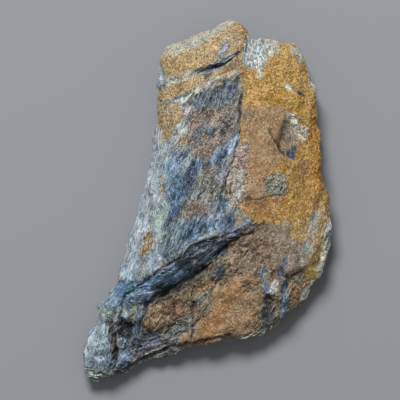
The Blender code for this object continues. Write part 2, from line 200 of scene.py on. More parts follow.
# %% Colours of each mineral
FINISHES = {
    # name: (body colour, darker by, lighter by, share of fibre, share of rubble)
    "gold": ((157, 121, 58), 42, 38, 0.0, 0.2),
    "gold_light": ((172, 137, 74), 42, 38, 0.0, 0.2),
    "orange_brown": ((150, 112, 62), 40, 36, 0.1, 0.3),
    "olive_gold": ((175, 132, 55), 40, 34, 0.1, 0.2),
    "olive_glaze": ((160, 134, 54), 36, 34, 0.0, 0.1),
    "sand_gold": ((130, 108, 84), 40, 42, 0.2, 0.4),
    "sand_cream": ((164, 146, 116), 44, 42, 0.2, 0.2),
    "tan": ((147, 118, 84), 32, 32, 0.25, 0.12),
    "umber": ((126, 107, 86), 46, 46, 0.3, 0.4),
    "umber_dark": ((66, 54, 44), 40, 46, 0.4, 0.5),
    "umber_block": ((122, 102, 76), 58, 60, 0.5, 0.7),
    "grey_tan": ((132, 118, 100), 36, 40, 0.15, 0.3),
    "grey_teal": ((122, 122, 110), 62, 66, 0.3, 0.4),
    "grey_green": ((118, 114, 98), 48, 50, 0.4, 0.5),
    "grey_rib": ((100, 114, 130), 52, 60, 0.9, 0.3),
    "cream": ((160, 156, 142), 42, 40, 0.25, 0.15),
    "pale_fibre": ((143, 153, 162), 48, 50, 0.8, 0.0),
    "pale_blue": ((156, 172, 182), 46, 40, 0.8, 0.0),
    "white_tuft": ((163, 171, 175), 46, 60, 0.9, 0.0),
    "teal_pale": ((138, 157, 154), 46, 44, 0.6, 0.1),
    "mottled_blue": ((118, 127, 131), 54, 52, 0.7, 0.1),
    "steel_grey": ((102, 117, 128), 52, 52, 0.8, 0.1),
    "steel_blue": ((81, 104, 130), 50, 56, 0.85, 0.1),
    "steel_light": ((119, 143, 166), 50, 50, 0.85, 0.1),
    "deep_blue": ((74, 97, 121), 50, 54, 0.9, 0.1),
    "navy": ((54, 72, 98), 44, 70, 0.9, 0.2),
    "navy_mottled": ((98, 107, 120), 60, 56, 0.8, 0.4),
    "plum_brown": ((124, 114, 106), 52, 48, 0.4, 0.3),
    "pink_white": ((134, 124, 116), 52, 62, 0.1, 0.35),
    "ochre_speck": ((143, 124, 94), 52, 60, 0.4, 0.2),
    "olive": ((88, 84, 66), 46, 48, 0.4, 0.5),
    "blue_black": ((54, 66, 80), 38, 92, 0.9, 0.3),
    "black_hole": ((26, 30, 40), 26, 62, 0.7, 0.5),
    "slate": ((72, 74, 76), 40, 46, 0.5, 0.3),
    "pale_gold": ((162, 138, 98), 44, 44, 0.1, 0.15),
    "streak_pale": ((178, 180, 174), 56, 40, 0.7, 0.0),
    "wing_blue": ((96, 116, 136), 56, 54, 0.9, 0.1),
    "wedge_blue": ((96, 130, 160), 56, 52, 0.9, 0.1),
    "speckled_grey": ((120, 119, 112), 54, 52, 0.5, 0.2),
    "foot_mottled": ((108, 109, 105), 64, 68, 0.5, 0.5),
    "rim_orange": ((174, 126, 50), 42, 38, 0.1, 0.3),
    "bright_orange": ((255, 204, 118), 40, 26, 0.1, 0.2),
    "speckle_plum": ((84, 82, 86), 66, 66, 0.2, 0.6),
    "violet_blue": ((114, 120, 142), 58, 52, 0.5, 0.3),
    "olive_pale": ((152, 156, 134), 50, 40, 0.8, 0.1),
    "pale_green": ((152, 162, 142), 48, 40, 0.5, 0.1),
    "corner_rust": ((160, 127, 88), 52, 48, 0.2, 0.5),
    "slate_green": ((144, 137, 114), 52, 44, 0.3, 0.3),
    "lip_striped": ((112, 117, 108), 88, 78, 0.95, 0.0),
    "speckled_brown": ((126, 112, 100), 52, 52, 0.2, 0.4),
    "streak_lilac": ((146, 150, 162), 56, 46, 0.6, 0.2),
    "pale_sky": ((156, 178, 204), 56, 36, 0.8, 0.0),
    "scarp_blue": ((108, 137, 166), 60, 52, 0.8, 0.3),
    "strip_red": ((140, 114, 108), 46, 66, 0.1, 0.3),
    "strip_white": ((160, 152, 146), 60, 60, 0.2, 0.4),
    "lobe_white": ((170, 185, 198), 56, 50, 0.6, 0.1),
    "pit_speck": ((151, 145, 128), 62, 60, 0.2, 0.4),
    "foot_slate": ((86, 96, 106), 54, 70, 0.9, 0.2),
    "foot_blue": ((102, 120, 142), 64, 58, 0.8, 0.1),
    "toe_pale": ((120, 131, 132), 64, 56, 0.5, 0.5),
    "crack_brown": ((64, 52, 44), 40, 60, 0.6, 0.2),
    "slit_blue": ((136, 148, 158), 60, 44, 0.95, 0.0),
    "block_red": ((108, 81, 53), 46, 52, 0.45, 0.6),
    "knob_violet": ((84, 88, 98), 46, 48, 0.5, 0.3),
    "scree_orange": ((153, 114, 70), 34, 38, 0.15, 0.15),
    "scree_tan": ((148, 120, 88), 36, 44, 0.15, 0.15),
    "corner_olive": ((146, 136, 112), 54, 48, 0.3, 0.5),
    "pale_edge": ((222, 226, 208), 46, 36, 0.3, 0.3),
    "rim_gold": ((168, 141, 96), 44, 40, 0.05, 0.2),
    "crystal": ((250, 252, 252), 44, 6, 0.1, 0.0),
    "tip_pale": ((144, 161, 172), 52, 42, 1.0, 0.0),
    "tip_green": ((158, 167, 164), 74, 46, 1.0, 0.0),
}
WAVY = {  # how far the fibres wander, where that is not 1
    "tip_pale": 2.6, "tip_green": 3.0, "deep_blue": 1.6, "pale_fibre": 2.0, "pale_blue": 2.0,
    "mottled_blue": 1.6, "steel_light": 1.6, "lip_striped": 0.5}
CALM = {  # how much smoother than a fresh break, from 0 to 1
    "lobe_white": 0.7, "pale_fibre": 0.5, "pale_blue": 0.6, "steel_light": 0.4, "tip_pale": 0.4,
    "tip_green": 0.2, "tan": 0.5, "cream": 0.4, "scree_tan": 0.6, "scree_orange": 0.6, "grey_tan": 0.45,
    "gold": 0.2, "pale_gold": 0.2, "deep_blue": 0.4, "foot_blue": 0.4, "teal_pale": 0.5,
    "wedge_blue": 0.3, "steel_grey": 0.2}
USUAL_SPARKLE = 0.03
SPARKLE = {  # the share of grains that shine, less rough and with a painted glint, where that is unusual
    "strip_white": 0.2, "strip_red": 0.12, "pit_speck": 0.12, "scree_tan": 0.09, "scree_orange": 0.06,
    "pale_gold": 0.04, "umber_block": 0.05, "block_red": 0.05, "grey_tan": 0.07, "tan": 0.04,
    "olive_gold": 0.05}
DARKEST, LIGHTEST = 4.0, 250.0  # no rock is quite black or quite white

# the columns of a finish's row of numbers
HOLLOW, BODY, HIGHLIGHT, RUN = slice(0, 3), slice(3, 6), slice(6, 9), slice(9, 11)
FIBRE, RUBBLE, WAVE, LIVELY, SHINE = range(11, 16)


def linear(colour):
    """A colour picker's 0 to 255 values as linear light, by the usual sRGB curve."""
    share = np.clip(np.array(colour, float), DARKEST, LIGHTEST) / 255.0
    return np.where(share <= 0.04045, share / 12.92, ((share + 0.055) / 1.055) ** 2.4)


def finish_row(name, angle):
    """Everything a point needs to know of its finish, in one row whose columns are named above."""
    body, darker, lighter, fibre, rubble = FINISHES[name]
    body = np.array(body)
    turn = math.radians(angle)
    return np.r_[linear(body - darker), linear(body), linear(body + lighter),
                 math.cos(turn), math.sin(turn), fibre, rubble, WAVY.get(name, 1.0),
                 1.0 - CALM.get(name, 0.0), SPARKLE.get(name, USUAL_SPARKLE)]


print("finishes:", len(FINISHES))

# %% [markdown]
# ## Where each mineral shows on top
# Seen from above, the veins are patches with feathered edges: pale fibres down the left flank, a
# blue-black scarp, a gold crust at the right. Each patch is a plain outline, laid over the ones
# before it as paint would be. Real edges fray along the fibres, so a point's distance from the
# outline is first changed by noise that is stretched along them.

# %% Outlines of the veins, from the first layer to the last
VEINS = [
    # name, finish, how far its edge frays, angle of its fibres from +X, and the corners of its outline
    ("lower_rock", "umber_block", 0.8, 55, [
        177, -50, 25, -105, -121, -188, -201, -239, -273, -232, -397, -442, -397, -565, -150, -565,
        250, -442, 286, -297, 214, -152]),
    ("foot_rock", "foot_slate", 1.0, 50, [
        -310, -239, -201, -290, -190, -333, -201, -392, -168, -395, -77, -370, -39, -395, -44, -457,
        -222, -588, -440, -646, -440, -370]),
    ("ledge_rock", "grey_tan", 1.0, 60, [
        150, -65, 185, -65, 294, -83, 417, -79, 417, -370, 214, -406, 156, -392, 163, -224, 68, -224]),
    ("blue_plate", "mottled_blue", 1.0, 70, [
        -222, 466, 112, 568, 112, 335, 101, 197, 61, 66, 97, -21, 150, -65, 25, -105, -121, -188,
        -201, -239, -331, -283, -331, -79, -259, 139]),
    ("pale_flank", "pale_fibre", 1.6, 74, [
        -164, 299, -128, 255, -121, 197, -77, 168, -62, 146, -92, 110, -113, 73, -128, 23, -121, -28,
        -146, -115, -128, -145, -132, -181, -186, -224, -230, -254, -291, -239, -281, -174, -262, -123,
        -248, -57, -193, 110, -175, 183]),
    ("head_base", "pale_gold", 1.2, 28, [-222, 502, -150, 575, 134, 575, 134, 357, -4, 335, -201, 284]),
    ("cream_rim", "cream", 0.9, 28, [
        -146, 437, -128, 470, -106, 488, 25, 550, 86, 564, 101, 535, 86, 520, 28, 499, -15, 473, -77, 441,
        -113, 430]),
    ("pale_shoulder", "streak_pale", 1.2, 60, [
        -99, 281, -44, 299, -32, 284, -52, 255, -62, 190, -77, 167, -110, 190, -95, 230, -70, 255]),
    ("gold_head", "pale_gold", 1.2, 28, [
        -139, 426, -92, 430, -44, 443, -4, 470, 105, 524, 119, 495, 108, 441, 68, 444, 25, 419, -23, 401,
        -62, 379, -146, 350]),
    ("head_speckle", "sand_cream", 1.2, 30, [
        25, 494, 83, 533, 99, 510, 102, 466, 77, 455, 61, 484, 39, 466]),
    ("head_blue", "streak_lilac", 0.5, 50, [
        33, 440, 36, 458, 43, 473, 57, 482, 67, 476, 64, 458, 52, 440, 39, 431]),
    ("corner_orange", "orange_brown", 0.8, 80, [83, 531, 103, 539, 123, 513, 121, 473, 103, 466, 99, 510]),
    ("gold_edge", "rim_gold", 0.5, 86, [91, 539, 108, 527, 115, 491, 107, 329, 98, 329, 98, 461]),
    ("slit", "slit_blue", 0.5, 28, [
        94, 451, 25, 421, -4, 403, -48, 387, -49, 379, 25, 385, 61, 411, 84, 433]),
    ("slit_spots", "foot_mottled", 0.4, 28, [
        -12, 383, 1, 392, 15, 389, 15, 371, 4, 365, -2, 353, -12, 359]),
    ("gold_under_slit", "sand_gold", 0.8, 28, [
        92, 446, 106, 444, 102, 392, 68, 382, 32, 364, 19, 375, 80, 428]),
    # painted shadow cast by the upper plate's edge onto the plate beside it
    ("plate_edge_shadow", "umber_dark", 0.3, 86, [100, 329, 112, 328, 110, 288, 102, 284]),
    ("upper_cream_streak", "streak_pale", 0.8, 28, [-142, 353, -12, 402, -23, 387, -92, 350, -150, 331]),
    ("gold_shoulder", "pale_gold", 1.2, 24, [
        -150, 331, -77, 355, -41, 375, -4, 371, -4, 353, -77, 322, -151, 302]),
    ("lower_cream_streak", "streak_pale", 1.0, 28, [
        -99, 305, -48, 331, -4, 346, 68, 386, 99, 395, 101, 371, 68, 364, 32, 348, -44, 299, -77, 281,
        -99, 277]),
    ("gold_flank", "pale_gold", 1.1, 70, [
        -153, 293, -113, 297, -73, 286, -68, 254, -94, 226, -112, 190, -135, 188, -154, 241]),
    ("flank_cream", "sand_cream", 0.9, 60, [-132, 284, -99, 288, -92, 262, -113, 248, -132, 255]),
    ("pale_head_edge", "pale_fibre", 0.9, 74, [-151, 404, -132, 397, -121, 364, -132, 331, -153, 324]),
    ("navy_field", "navy_mottled", 1.2, 72, [
        -37, 321, 68, 366, 96, 368, 99, 335, 97, 299, 25, 288, -4, 277, -33, 288]),
    ("brown_field", "plum_brown", 1.4, 60, [
        -44, 277, -4, 281, 25, 288, 97, 299, 99, 270, 96, 212, 68, 190, 36, 175, 25, 139, -12, 132,
        -44, 146, -62, 190, -55, 248]),
    ("dark_brown_spot", "speckle_plum", 0.6, 60, [46, 239, 70, 248, 78, 233, 64, 200, 43, 191, 39, 215]),
    ("blue_spot_b", "steel_blue", 0.9, 70, [-9, 227, 9, 236, 19, 215, 9, 197, -9, 206]),
    ("blue_wing", "wing_blue", 0.8, 62, [
        15, 149, 46, 164, 76, 185, 100, 194, 100, 161, 64, 101, 43, 113, 12, 101, 4, 125]),
    ("wing_pale", "pale_sky", 0.5, 62, [60, 164, 78, 191, 105, 203, 105, 170, 88, 137, 64, 107, 60, 134]),
    ("wing_navy", "navy", 0.5, 60, [39, 152, 57, 170, 67, 155, 57, 128, 39, 122]),
    ("wing_dark_line", "navy", 0.3, 80, [-2, 116, 9, 119, 9, 80, 1, 77]),
    ("rust_b", "block_red", 0.6, 60, [19, 65, 36, 68, 39, 35, 22, 32]),
    ("brown_by_wing", "speckled_brown", 0.8, 50, [-23, 164, 12, 167, 15, 140, -2, 119, -23, 131]),
    ("olive_spot", "slate_green", 0.6, 60, [-44, 152, -23, 155, -23, 131, -41, 131]),
    ("violet_spot", "knob_violet", 0.9, 74, [-44, 215, -26, 218, -20, 197, -26, 173, -47, 173]),
    ("deep_blue_streak", "deep_blue", 1.0, 68, [
        -105, 71, -86, 95, -20, 125, -20, 92, -60, 23, -92, -43, -119, -46, -113, -10, -116, 29]),
    ("streak_dark", "navy", 0.8, 66, [-68, 83, -50, 113, -20, 122, -23, 92, -39, 65, -60, 56]),
    ("streak_tail", "steel_blue", 0.7, 70, [-113, -7, -86, -7, -98, -43, -129, -115, -137, -106]),
    ("streak_mid", "steel_light", 0.9, 62, [-140, 113, -65, 155, -60, 125, -108, 68, -116, 23, -129, 35]),
    ("streak_top_blue", "wing_blue", 0.8, 60, [-110, 146, -65, 155, -60, 134, -86, 119, -108, 125]),
    ("flank_white", "pale_blue", 1.0, 80, [-170, 62, -150, 65, -143, 29, -150, -13, -167, 5]),
    ("flank_ochre_strip", "ochre_speck", 0.8, 80, [-143, 71, -129, 68, -126, 29, -140, 26]),
    ("flank_gold_spot", "sand_cream", 0.8, 70, [-81, 197, -65, 203, -57, 182, -68, 161, -84, 170]),
    ("speckled_field", "speckled_brown", 0.9, 60, [
        -71, -13, -36, 8, -5, -4, 9, -31, -9, -52, -36, -40, -62, -61]),
    ("field_grey", "speckled_grey", 1.0, 62, [
        -29, 95, 25, 101, 46, 59, 46, 17, 22, -7, -9, -1, -26, 35, -50, 17, -33, 59]),
    ("pale_mid_streak", "streak_lilac", 0.6, 60, [43, 113, 73, 128, 67, 92, 46, 59, 25, 65]),
    ("lower_plate_blue", "steel_grey", 1.2, 66, [
        -113, -79, -62, -57, -12, -57, 25, -6, 68, 15, 97, -28, 141, -54, -4, -108, -55, -141, -99, -174,
        -128, -181, -142, -137]),
    ("pale_low_streak", "foot_blue", 0.9, 60, [-5, -43, 46, -31, 49, -73, 9, -88, -12, -76]),
    ("mid_blue_patch", "steel_blue", 1.0, 60, [
        -53, -61, -20, -52, -5, -73, -20, -100, -50, -121, -78, -115]),
    ("navy_flake", "navy", 0.3, 66, [50, -76, 76, -22, 81, -55, 73, -79, 57, -85]),
    ("blue_flake_top", "steel_blue", 0.6, 60, [36, 8, 64, 14, 67, -10, 46, -19]),
    ("teal_strip", "teal_pale", 0.6, 74, [
        -140, -13, -122, -4, -119, -40, -126, -70, -140, -109, -156, -103]),
    ("cream_strip", "teal_pale", 0.8, 72, [-161, -22, -146, -4, -146, -40, -158, -76, -167, -61]),
    ("white_lobe", "lobe_white", 0.9, 60, [
        -219, -49, -195, -40, -177, -67, -191, -94, -212, -103, -225, -79]),
    ("ochre_flank_spot", "ochre_speck", 0.7, 66, [
        -191, -106, -174, -82, -157, -103, -161, -139, -182, -166, -206, -187, -201, -139]),
    ("pale_lobe", "lobe_white", 0.7, 40, [-179, -184, -146, -154, -132, -181, -156, -208, -182, -205]),
    ("grey_lobe_gap", "pale_fibre", 1.0, 60, [-219, -175, -195, -151, -177, -169, -182, -211, -212, -223]),
    ("pale_foot_lobe", "pale_blue", 0.9, 60, [
        -263, -187, -227, -166, -215, -199, -219, -238, -249, -247, -267, -220]),
    ("brow_line", "teal_pale", 0.5, 28, [-68, -142, -23, -106, 22, -85, 49, -82, -20, -118, -50, -142]),
    ("brow_blue_right", "violet_blue", 0.7, 28, [
        33, -91, 76, -79, 118, -55, 148, -79, 129, -91, 81, -109, 46, -115]),
    ("scarp", "blue_black", 0.5, 32, [
        -156, -286, -182, -307, -170, -265, -140, -211, -71, -148, -26, -121, 22, -103, 46, -115,
        142, -82, 136, -97, 57, -145, -33, -217, -81, -265, -122, -286]),
    ("scarp_blue", "scarp_blue", 0.8, 34, [
        -146, -247, -140, -208, -105, -187, -62, -196, -44, -220, -86, -244, -129, -259]),
    ("scarp_rib", "grey_rib", 0.6, 32, [-62, -181, -20, -145, 52, -127, 46, -151, -50, -199]),
    # painted shadow along the foot of the scarp, in a near-black finish
    ("scarp_foot_shadow", "black_hole", 0.4, 34, [
        -158, -283, -122, -247, -81, -253, -39, -211, 4, -178, 1, -199, -50, -244, -92, -274, -140, -292]),
    ("blue_wedge", "wedge_blue", 0.6, 36, [
        -278, -232, -249, -241, -219, -238, -137, -211, -153, -283, -170, -307, -260, -319, -273, -280]),
    ("wedge_light", "pale_sky", 0.9, 28, [-236, -283, -182, -259, -158, -265, -177, -295, -225, -307]),
    ("olive_patch", "olive_pale", 0.5, 60, [-225, -304, -205, -301, -215, -355, -232, -354, -230, -325]),
    ("teal_post", "steel_grey", 0.4, 78, [
        -209, -313, -190, -302, -187, -331, -198, -352, -209, -364, -215, -349, -209, -331]),
    ("pink_post", "lobe_white", 0.5, 80, [-256, -328, -232, -323, -235, -349, -241, -364, -253, -349]),
    ("toe_grey", "toe_pale", 0.9, 50, [
        -360, -352, -331, -290, -295, -261, -255, -308, -250, -352, -288, -370, -331, -373]),
    ("toe_blue", "steel_light", 0.8, 60, [
        -320, -272, -284, -261, -262, -290, -270, -315, -299, -319, -320, -301]),
    ("gold_side", "gold", 0.0, 80, [
        119, 488, 294, 480, 374, 357, 417, 66, 417, -79, 294, -83, 185, -65, 150, -65, 97, -21, 68, 66,
        101, 197, 112, 335]),
    ("gold_upper", "gold_light", 1.8, 80, [
        108, 419, 249, 491, 334, 425, 349, 275, 315, 239, 273, 254, 232, 278, 102, 278]),
    ("pink_strip", "pink_white", 1.2, 78, [
        68, 139, 112, 179, 132, 179, 118, 52, 116, -6, 94, -28, 68, -32, 61, 1, 55, 66]),
    ("pink_red", "strip_red", 0.6, 70, [88, 140, 108, 155, 121, 131, 112, 104, 88, 95]),
    ("strip_white", "strip_white", 0.8, 76, [70, 83, 102, 95, 108, 59, 105, 5, 78, -13, 60, 17, 60, 53]),
    ("strip_brown", "block_red", 0.5, 70, [57, 53, 78, 53, 76, 20, 57, 17]),
    ("peach_spot", "grey_tan", 0.8, 74, [86, -37, 102, -19, 108, -61, 94, -76, 84, -64]),
    ("white_tuft", "white_tuft", 0.8, 86, [
        106, 466, 141, 506, 174, 480, 177, 437, 170, 393, 137, 397, 106, 408]),
    ("green_pale", "streak_pale", 0.9, 80, [169, 488, 210, 494, 214, 459, 196, 430, 176, 430]),
    ("tuft_tail", "cream", 0.7, 80, [150, 401, 172, 401, 169, 368, 152, 375]),
    ("corner_pale", "cream", 0.9, 120, [250, 473, 279, 466, 297, 419, 275, 419, 257, 451]),
    ("edge_pale", "cream", 0.7, 110, [305, 393, 323, 379, 334, 331, 315, 335, 307, 364]),
    ("olive_field", "olive_gold", 1.4, 20, [
        177, 324, 235, 335, 286, 310, 319, 288, 315, 262, 275, 262, 235, 284, 199, 288]),
    ("olive_glaze", "olive_glaze", 0.9, 20, [232, 314, 253, 323, 273, 314, 280, 293, 262, 275, 238, 281]),
    ("spot_white", "pale_edge", 0.4, 0, [235, 347, 243, 353, 253, 344, 253, 332, 241, 332]),
    ("spot_dark", "black_hole", 0.2, 0, [273, 329, 289, 331, 290, 320, 277, 318]),
    ("spot_pale", "cream", 0.2, 0, [259, 335, 270, 334, 272, 323, 262, 323]),
    ("spot_low", "umber_dark", 0.4, 0, [286, 116, 297, 122, 307, 113, 301, 98, 289, 101]),
    ("orange_rim", "rim_orange", 1.3, 86, [
        323, 299, 348, 284, 363, 168, 366, 73, 330, 37, 315, 81, 312, 168]),
    ("orange_speck", "orange_brown", 1.0, 0, [275, 117, 308, 121, 312, 81, 286, 73]),
    ("tan_plate", "tan", 0.5, 62, [
        103, 286, 163, 288, 232, 286, 241, 255, 225, 208, 234, 139, 214, 110, 186, 87, 176, 63, 179, 4,
        123, -6, 113, 23, 123, 66, 130, 132, 123, 183, 108, 212, 101, 233]),
    ("tan_dark_corner", "umber", 1.0, 60, [105, 277, 141, 270, 134, 248, 108, 248]),
    ("pit_edge_grey", "pit_speck", 0.8, 120, [
        235, 257, 256, 260, 277, 242, 304, 224, 307, 203, 291, 185, 273, 182, 273, 155, 262, 161,
        265, 191, 253, 224]),
    ("pit_bright", "pale_edge", 0.5, 120, [241, 263, 270, 257, 280, 239, 253, 239, 238, 248]),
    ("pit_shade", "grey_tan", 0.5, 80, [
        229, 239, 249, 242, 262, 209, 267, 179, 262, 155, 238, 149, 225, 182]),
    ("pit_blue", "navy", 0.4, 80, [232, 155, 249, 152, 267, 164, 267, 137, 256, 119, 243, 131]),
    ("teal_patch", "grey_teal", 1.0, 70, [176, 66, 199, 89, 230, 81, 244, 41, 228, 17, 193, 14, 177, 34]),
    ("red_ledge", "scree_orange", 0.8, 6, [113, -6, 177, 2, 235, 15, 239, -6, 185, -28, 119, -25]),
    ("grey_ledge", "grey_tan", 1.6, 60, [
        166, -91, 190, -67, 229, -58, 256, -61, 289, -73, 297, -115, 291, -169, 286, -181, 238, -211,
        190, -226, 115, -217, 76, -190, 94, -151, 129, -109]),
    ("gold_tongue", "gold_light", 1.0, 70, [249, -43, 307, -43, 307, -61, 289, -127, 267, -124, 253, -100]),
    ("ledge_band", "block_red", 0.9, 50, [
        150, -70, 172, -58, 177, -85, 156, -118, 129, -148, 102, -166, 105, -142, 129, -109]),
    ("green_right_rim", "rim_gold", 1.0, 78, [
        262, -61, 297, -49, 331, -7, 370, -1, 376, -115, 363, -181, 334, -238, 307, -244, 291, -220,
        294, -181, 307, -136, 294, -109]),
    ("rim_pale_edge", "pale_edge", 1.0, 80, [
        360, -103, 379, -103, 379, -181, 358, -229, 334, -253, 313, -259, 328, -199, 342, -163]),
    ("rim_pale_upper", "streak_pale", 1.0, 78, [360, -43, 376, -55, 379, -115, 358, -127, 355, -91]),
    ("pale_right_streak", "cream", 0.9, 74, [
        342, -25, 336, -52, 325, -82, 318, -112, 315, -145, 301, -163, 289, -193, 277, -181, 286, -136,
        307, -58, 325, -31]),
    ("streak_teal", "teal_pale", 0.8, 78, [294, -130, 310, -130, 310, -151, 297, -163, 289, -148]),
    ("orange_spot", "bright_orange", 0.7, 60, [
        294, -206, 312, -197, 330, -203, 331, -224, 312, -239, 295, -232]),
    ("umber_scree", "umber_block", 1.2, 48, [
        10, -232, 54, -181, 68, -134, 101, -101, 150, -75, 177, -75, 141, -108, 101, -159, 79, -195,
        101, -217, 32, -254]),
    ("umber_pale_streak", "umber", 1.2, 62, [
        141, -115, 170, -101, 203, -115, 199, -159, 177, -210, 152, -214, 137, -166]),
    ("umber_orange_streak", "umber", 1.2, 40, [
        112, -79, 177, -72, 192, -101, 141, -123, 97, -152, 86, -137]),
    ("pale_green_spot", "umber", 0.8, 70, [141, -195, 169, -188, 174, -217, 152, -232]),
    ("scarp_foot_olive", "olive", 0.8, 40, [-44, -232, -26, -208, -2, -199, 19, -229, -2, -250, -33, -247]),
    ("olive_lumps", "grey_green", 0.9, 30, [
        -146, -301, -126, -274, -44, -238, -33, -250, -74, -274, -140, -319]),
    ("rust_under_scarp", "corner_rust", 0.8, 30, [
        -33, -250, -2, -247, 19, -232, 28, -247, 4, -265, -33, -277]),
    ("white_stroke", "white_tuft", 0.1, -40, [-43, -270, -39, -267, -22, -282, -25, -285]),
    ("knob", "knob_violet", 0.4, 50, [15, -196, 46, -179, 55, -211, 39, -240, 19, -237, 12, -220]),
    ("brown_block", "umber_block", 1.2, 55, [
        -197, -377, -190, -333, -150, -284, -55, -245, -25, -255, -30, -297, -30, -363, -39, -395,
        -77, -363, -168, -393]),
    ("block_dark_foot", "scree_tan", 0.9, 80, [-92, -370, -39, -370, -33, -432, -77, -442, -95, -428]),
    ("block_red_a", "block_red", 1.0, 40, [-121, -301, -77, -290, -62, -319, -99, -341, -128, -330]),
    ("block_grey_top", "grey_green", 1.0, 28, [-150, -286, -55, -243, -48, -257, -99, -283, -142, -301]),
    ("block_rib_a", "umber", 0.6, 80, [-71, -297, -58, -294, -54, -363, -68, -392, -77, -377]),
    ("green_wedge", "grey_green", 0.6, 64, [-23, -277, 15, -250, 22, -289, 1, -331, -20, -331, -33, -307]),
    ("gold_scree", "scree_tan", 1.2, 50, [
        28, -257, 68, -233, 126, -221, 177, -224, 177, -272, 172, -323, 172, -379, 163, -403, -4, -446,
        -92, -461, -77, -432, -41, -399, -25, -363, -3, -342]),
    ("gold_scree_orange", "scree_orange", 1.2, 56, [
        -33, -428, -12, -370, 25, -315, 54, -261, 90, -224, 141, -239, 112, -283, 68, -319, 10, -428,
        -48, -450]),
    ("scree_grey", "umber", 1.2, 40, [101, -243, 163, -235, 179, -275, 141, -281, 105, -272]),
    ("scree_orange_right", "scree_tan", 0.8, 64, [
        141, -283, 169, -275, 169, -326, 163, -384, 145, -392, 141, -333]),
    ("ochre_edge", "orange_brown", 0.4, 16, [
        -92, -461, 68, -422, 163, -395, 166, -405, 68, -434, -4, -450, -84, -472]),
    ("dark_slate", "slate", 0.6, 66, [
        166, -310, 177, -294, 196, -302, 212, -331, 209, -361, 193, -382, 166, -384, 164, -340]),
    ("slate_rim", "slate_green", 0.4, 80, [
        150, -301, 169, -298, 166, -340, 167, -382, 196, -384, 190, -397, 150, -400]),
    ("rust_by_slate", "corner_rust", 0.8, 80, [139, -331, 152, -319, 153, -379, 136, -385]),
    ("olive_by_slate", "corner_olive", 0.6, 70, [
        184, -283, 211, -286, 225, -304, 222, -349, 205, -385, 211, -337, 198, -304]),
    ("teal_side", "pale_green", 0.4, 76, [166, -214, 179, -211, 179, -238, 174, -250, 166, -250]),
    ("teal_top", "foot_blue", 0.4, 76, [160, -187, 172, -187, 172, -208, 166, -232, 155, -214]),
    ("sky_spot", "foot_blue", 0.3, 60, [164, -256, 184, -248, 193, -264, 187, -283, 172, -271]),
    ("rust_by_crystal", "block_red", 0.5, 60, [191, -202, 205, -196, 209, -214, 198, -238, 191, -229]),
    ("crystal", "crystal", 0.1, 66, [
        194, -248, 205, -233, 215, -238, 215, -256, 209, -272, 198, -282, 188, -280]),
    ("navy_corner_spot", "navy", 0.4, 70, [212, -199, 225, -189, 233, -208, 227, -226, 211, -217]),
    ("lilac_spot", "violet_blue", 0.5, 70, [219, -172, 239, -172, 241, -196, 229, -193]),
    ("crevice_dark", "navy", 0.3, 76, [229, -232, 242, -233, 239, -265, 229, -313, 221, -295]),
    ("blue_corner_streak", "foot_blue", 0.3, 78, [
        232, -271, 246, -270, 242, -319, 233, -349, 219, -343, 222, -304]),
    ("corner", "corner_olive", 0.8, 64, [
        242, -235, 280, -223, 315, -232, 334, -244, 322, -271, 297, -304, 270, -322, 243, -334, 245, -295]),
    ("corner_red", "corner_rust", 1.0, 60, [
        249, -259, 273, -244, 301, -247, 294, -271, 280, -301, 249, -319]),
    ("corner_pale_edge", "pale_edge", 0.6, 40, [
        289, -265, 307, -256, 313, -235, 334, -232, 336, -253, 315, -283, 291, -310, 286, -295]),
    # painted shade inside the hole, in a near-black finish
    ("hole_shade", "black_hole", 0.5, 60, [
        -259, -358, -239, -357, -227, -361, -206, -357, -202, -373, -212, -388, -208, -403, -230, -413,
        -249, -408, -262, -388]),
    ("navy_foot", "foot_mottled", 1.0, 22, [
        -197, -403, -121, -383, -84, -355, -48, -341, -33, -370, -77, -403, -92, -444, -150, -466,
        -222, -482, -250, -472, -237, -435]),
    ("navy_foot_light", "violet_blue", 0.7, 22, [
        -198, -433, -174, -406, -156, -392, -129, -430, -146, -445, -191, -445]),
    ("foot_light_b", "foot_blue", 0.4, 40, [
        -263, -451, -243, -443, -227, -445, -230, -469, -251, -493, -270, -502, -271, -469]),
    ("foot_stripe", "navy", 0.3, 38, [-260, -496, -230, -475, -225, -484, -267, -505]),
    ("foot_dark_a", "navy", 0.4, 48, [
        -243, -418, -227, -421, -206, -409, -170, -397, -170, -405, -198, -416, -206, -439, -246, -443,
        -249, -436]),
    ("white_sliver", "pale_sky", 0.1, 76, [-246, -408, -238, -411, -248, -447, -255, -443]),
    ("hole_sliver", "steel_light", 0.2, 64, [
        -219, -361, -208, -360, -209, -379, -220, -395, -226, -388, -219, -373]),
    ("hole_sliver_low", "steel_light", 0.2, 52, [-209, -391, -201, -385, -222, -412, -230, -416]),
    ("foot_brown", "speckle_plum", 0.6, 28, [
        -227, -451, -212, -440, -195, -443, -185, -463, -201, -478, -225, -475]),
    ("tip", "tip_pale", 0.5, 78, [
        -401, -463, -368, -376, -332, -346, -297, -361, -286, -415, -287, -493, -350, -559, -395, -535]),
    ("tip_end", "tip_green", 0.8, 10, [
        -397, -493, -291, -508, -272, -501, -270, -544, -350, -588, -404, -559]),
    ("tip_crack_side", "crack_brown", 0.4, 80, [
        -295, -361, -284, -367, -274, -391, -270, -430, -273, -490, -283, -502, -286, -445]),
    ("lip", "lip_striped", 0.5, 20, [
        -284, -517, -254, -511, -227, -487, -185, -466, -140, -453, 64, -418, 205, -370, 235, -397,
        70, -460, -5, -469, -92, -493, -164, -523, -284, -565]),
]
SHARPEST, SOFTER = 0.3, 0.7  # how wide an edge is in mm, and how much its fraying adds
FRAY_WIDTH, FRAY_LENGTH = 1.1, 3.6  # the size of one frayed tongue
COARSE_FRAY, FINE_FRAY, FINENESS = 1.4, 0.8, 2.3  # how strong each is, and how much smaller the fine one


def along_and_across(points, cosine, sine):
    along = points[:, 0] * cosine + points[:, 1] * sine
    across = points[:, 1] * cosine - points[:, 0] * sine
    return along, across


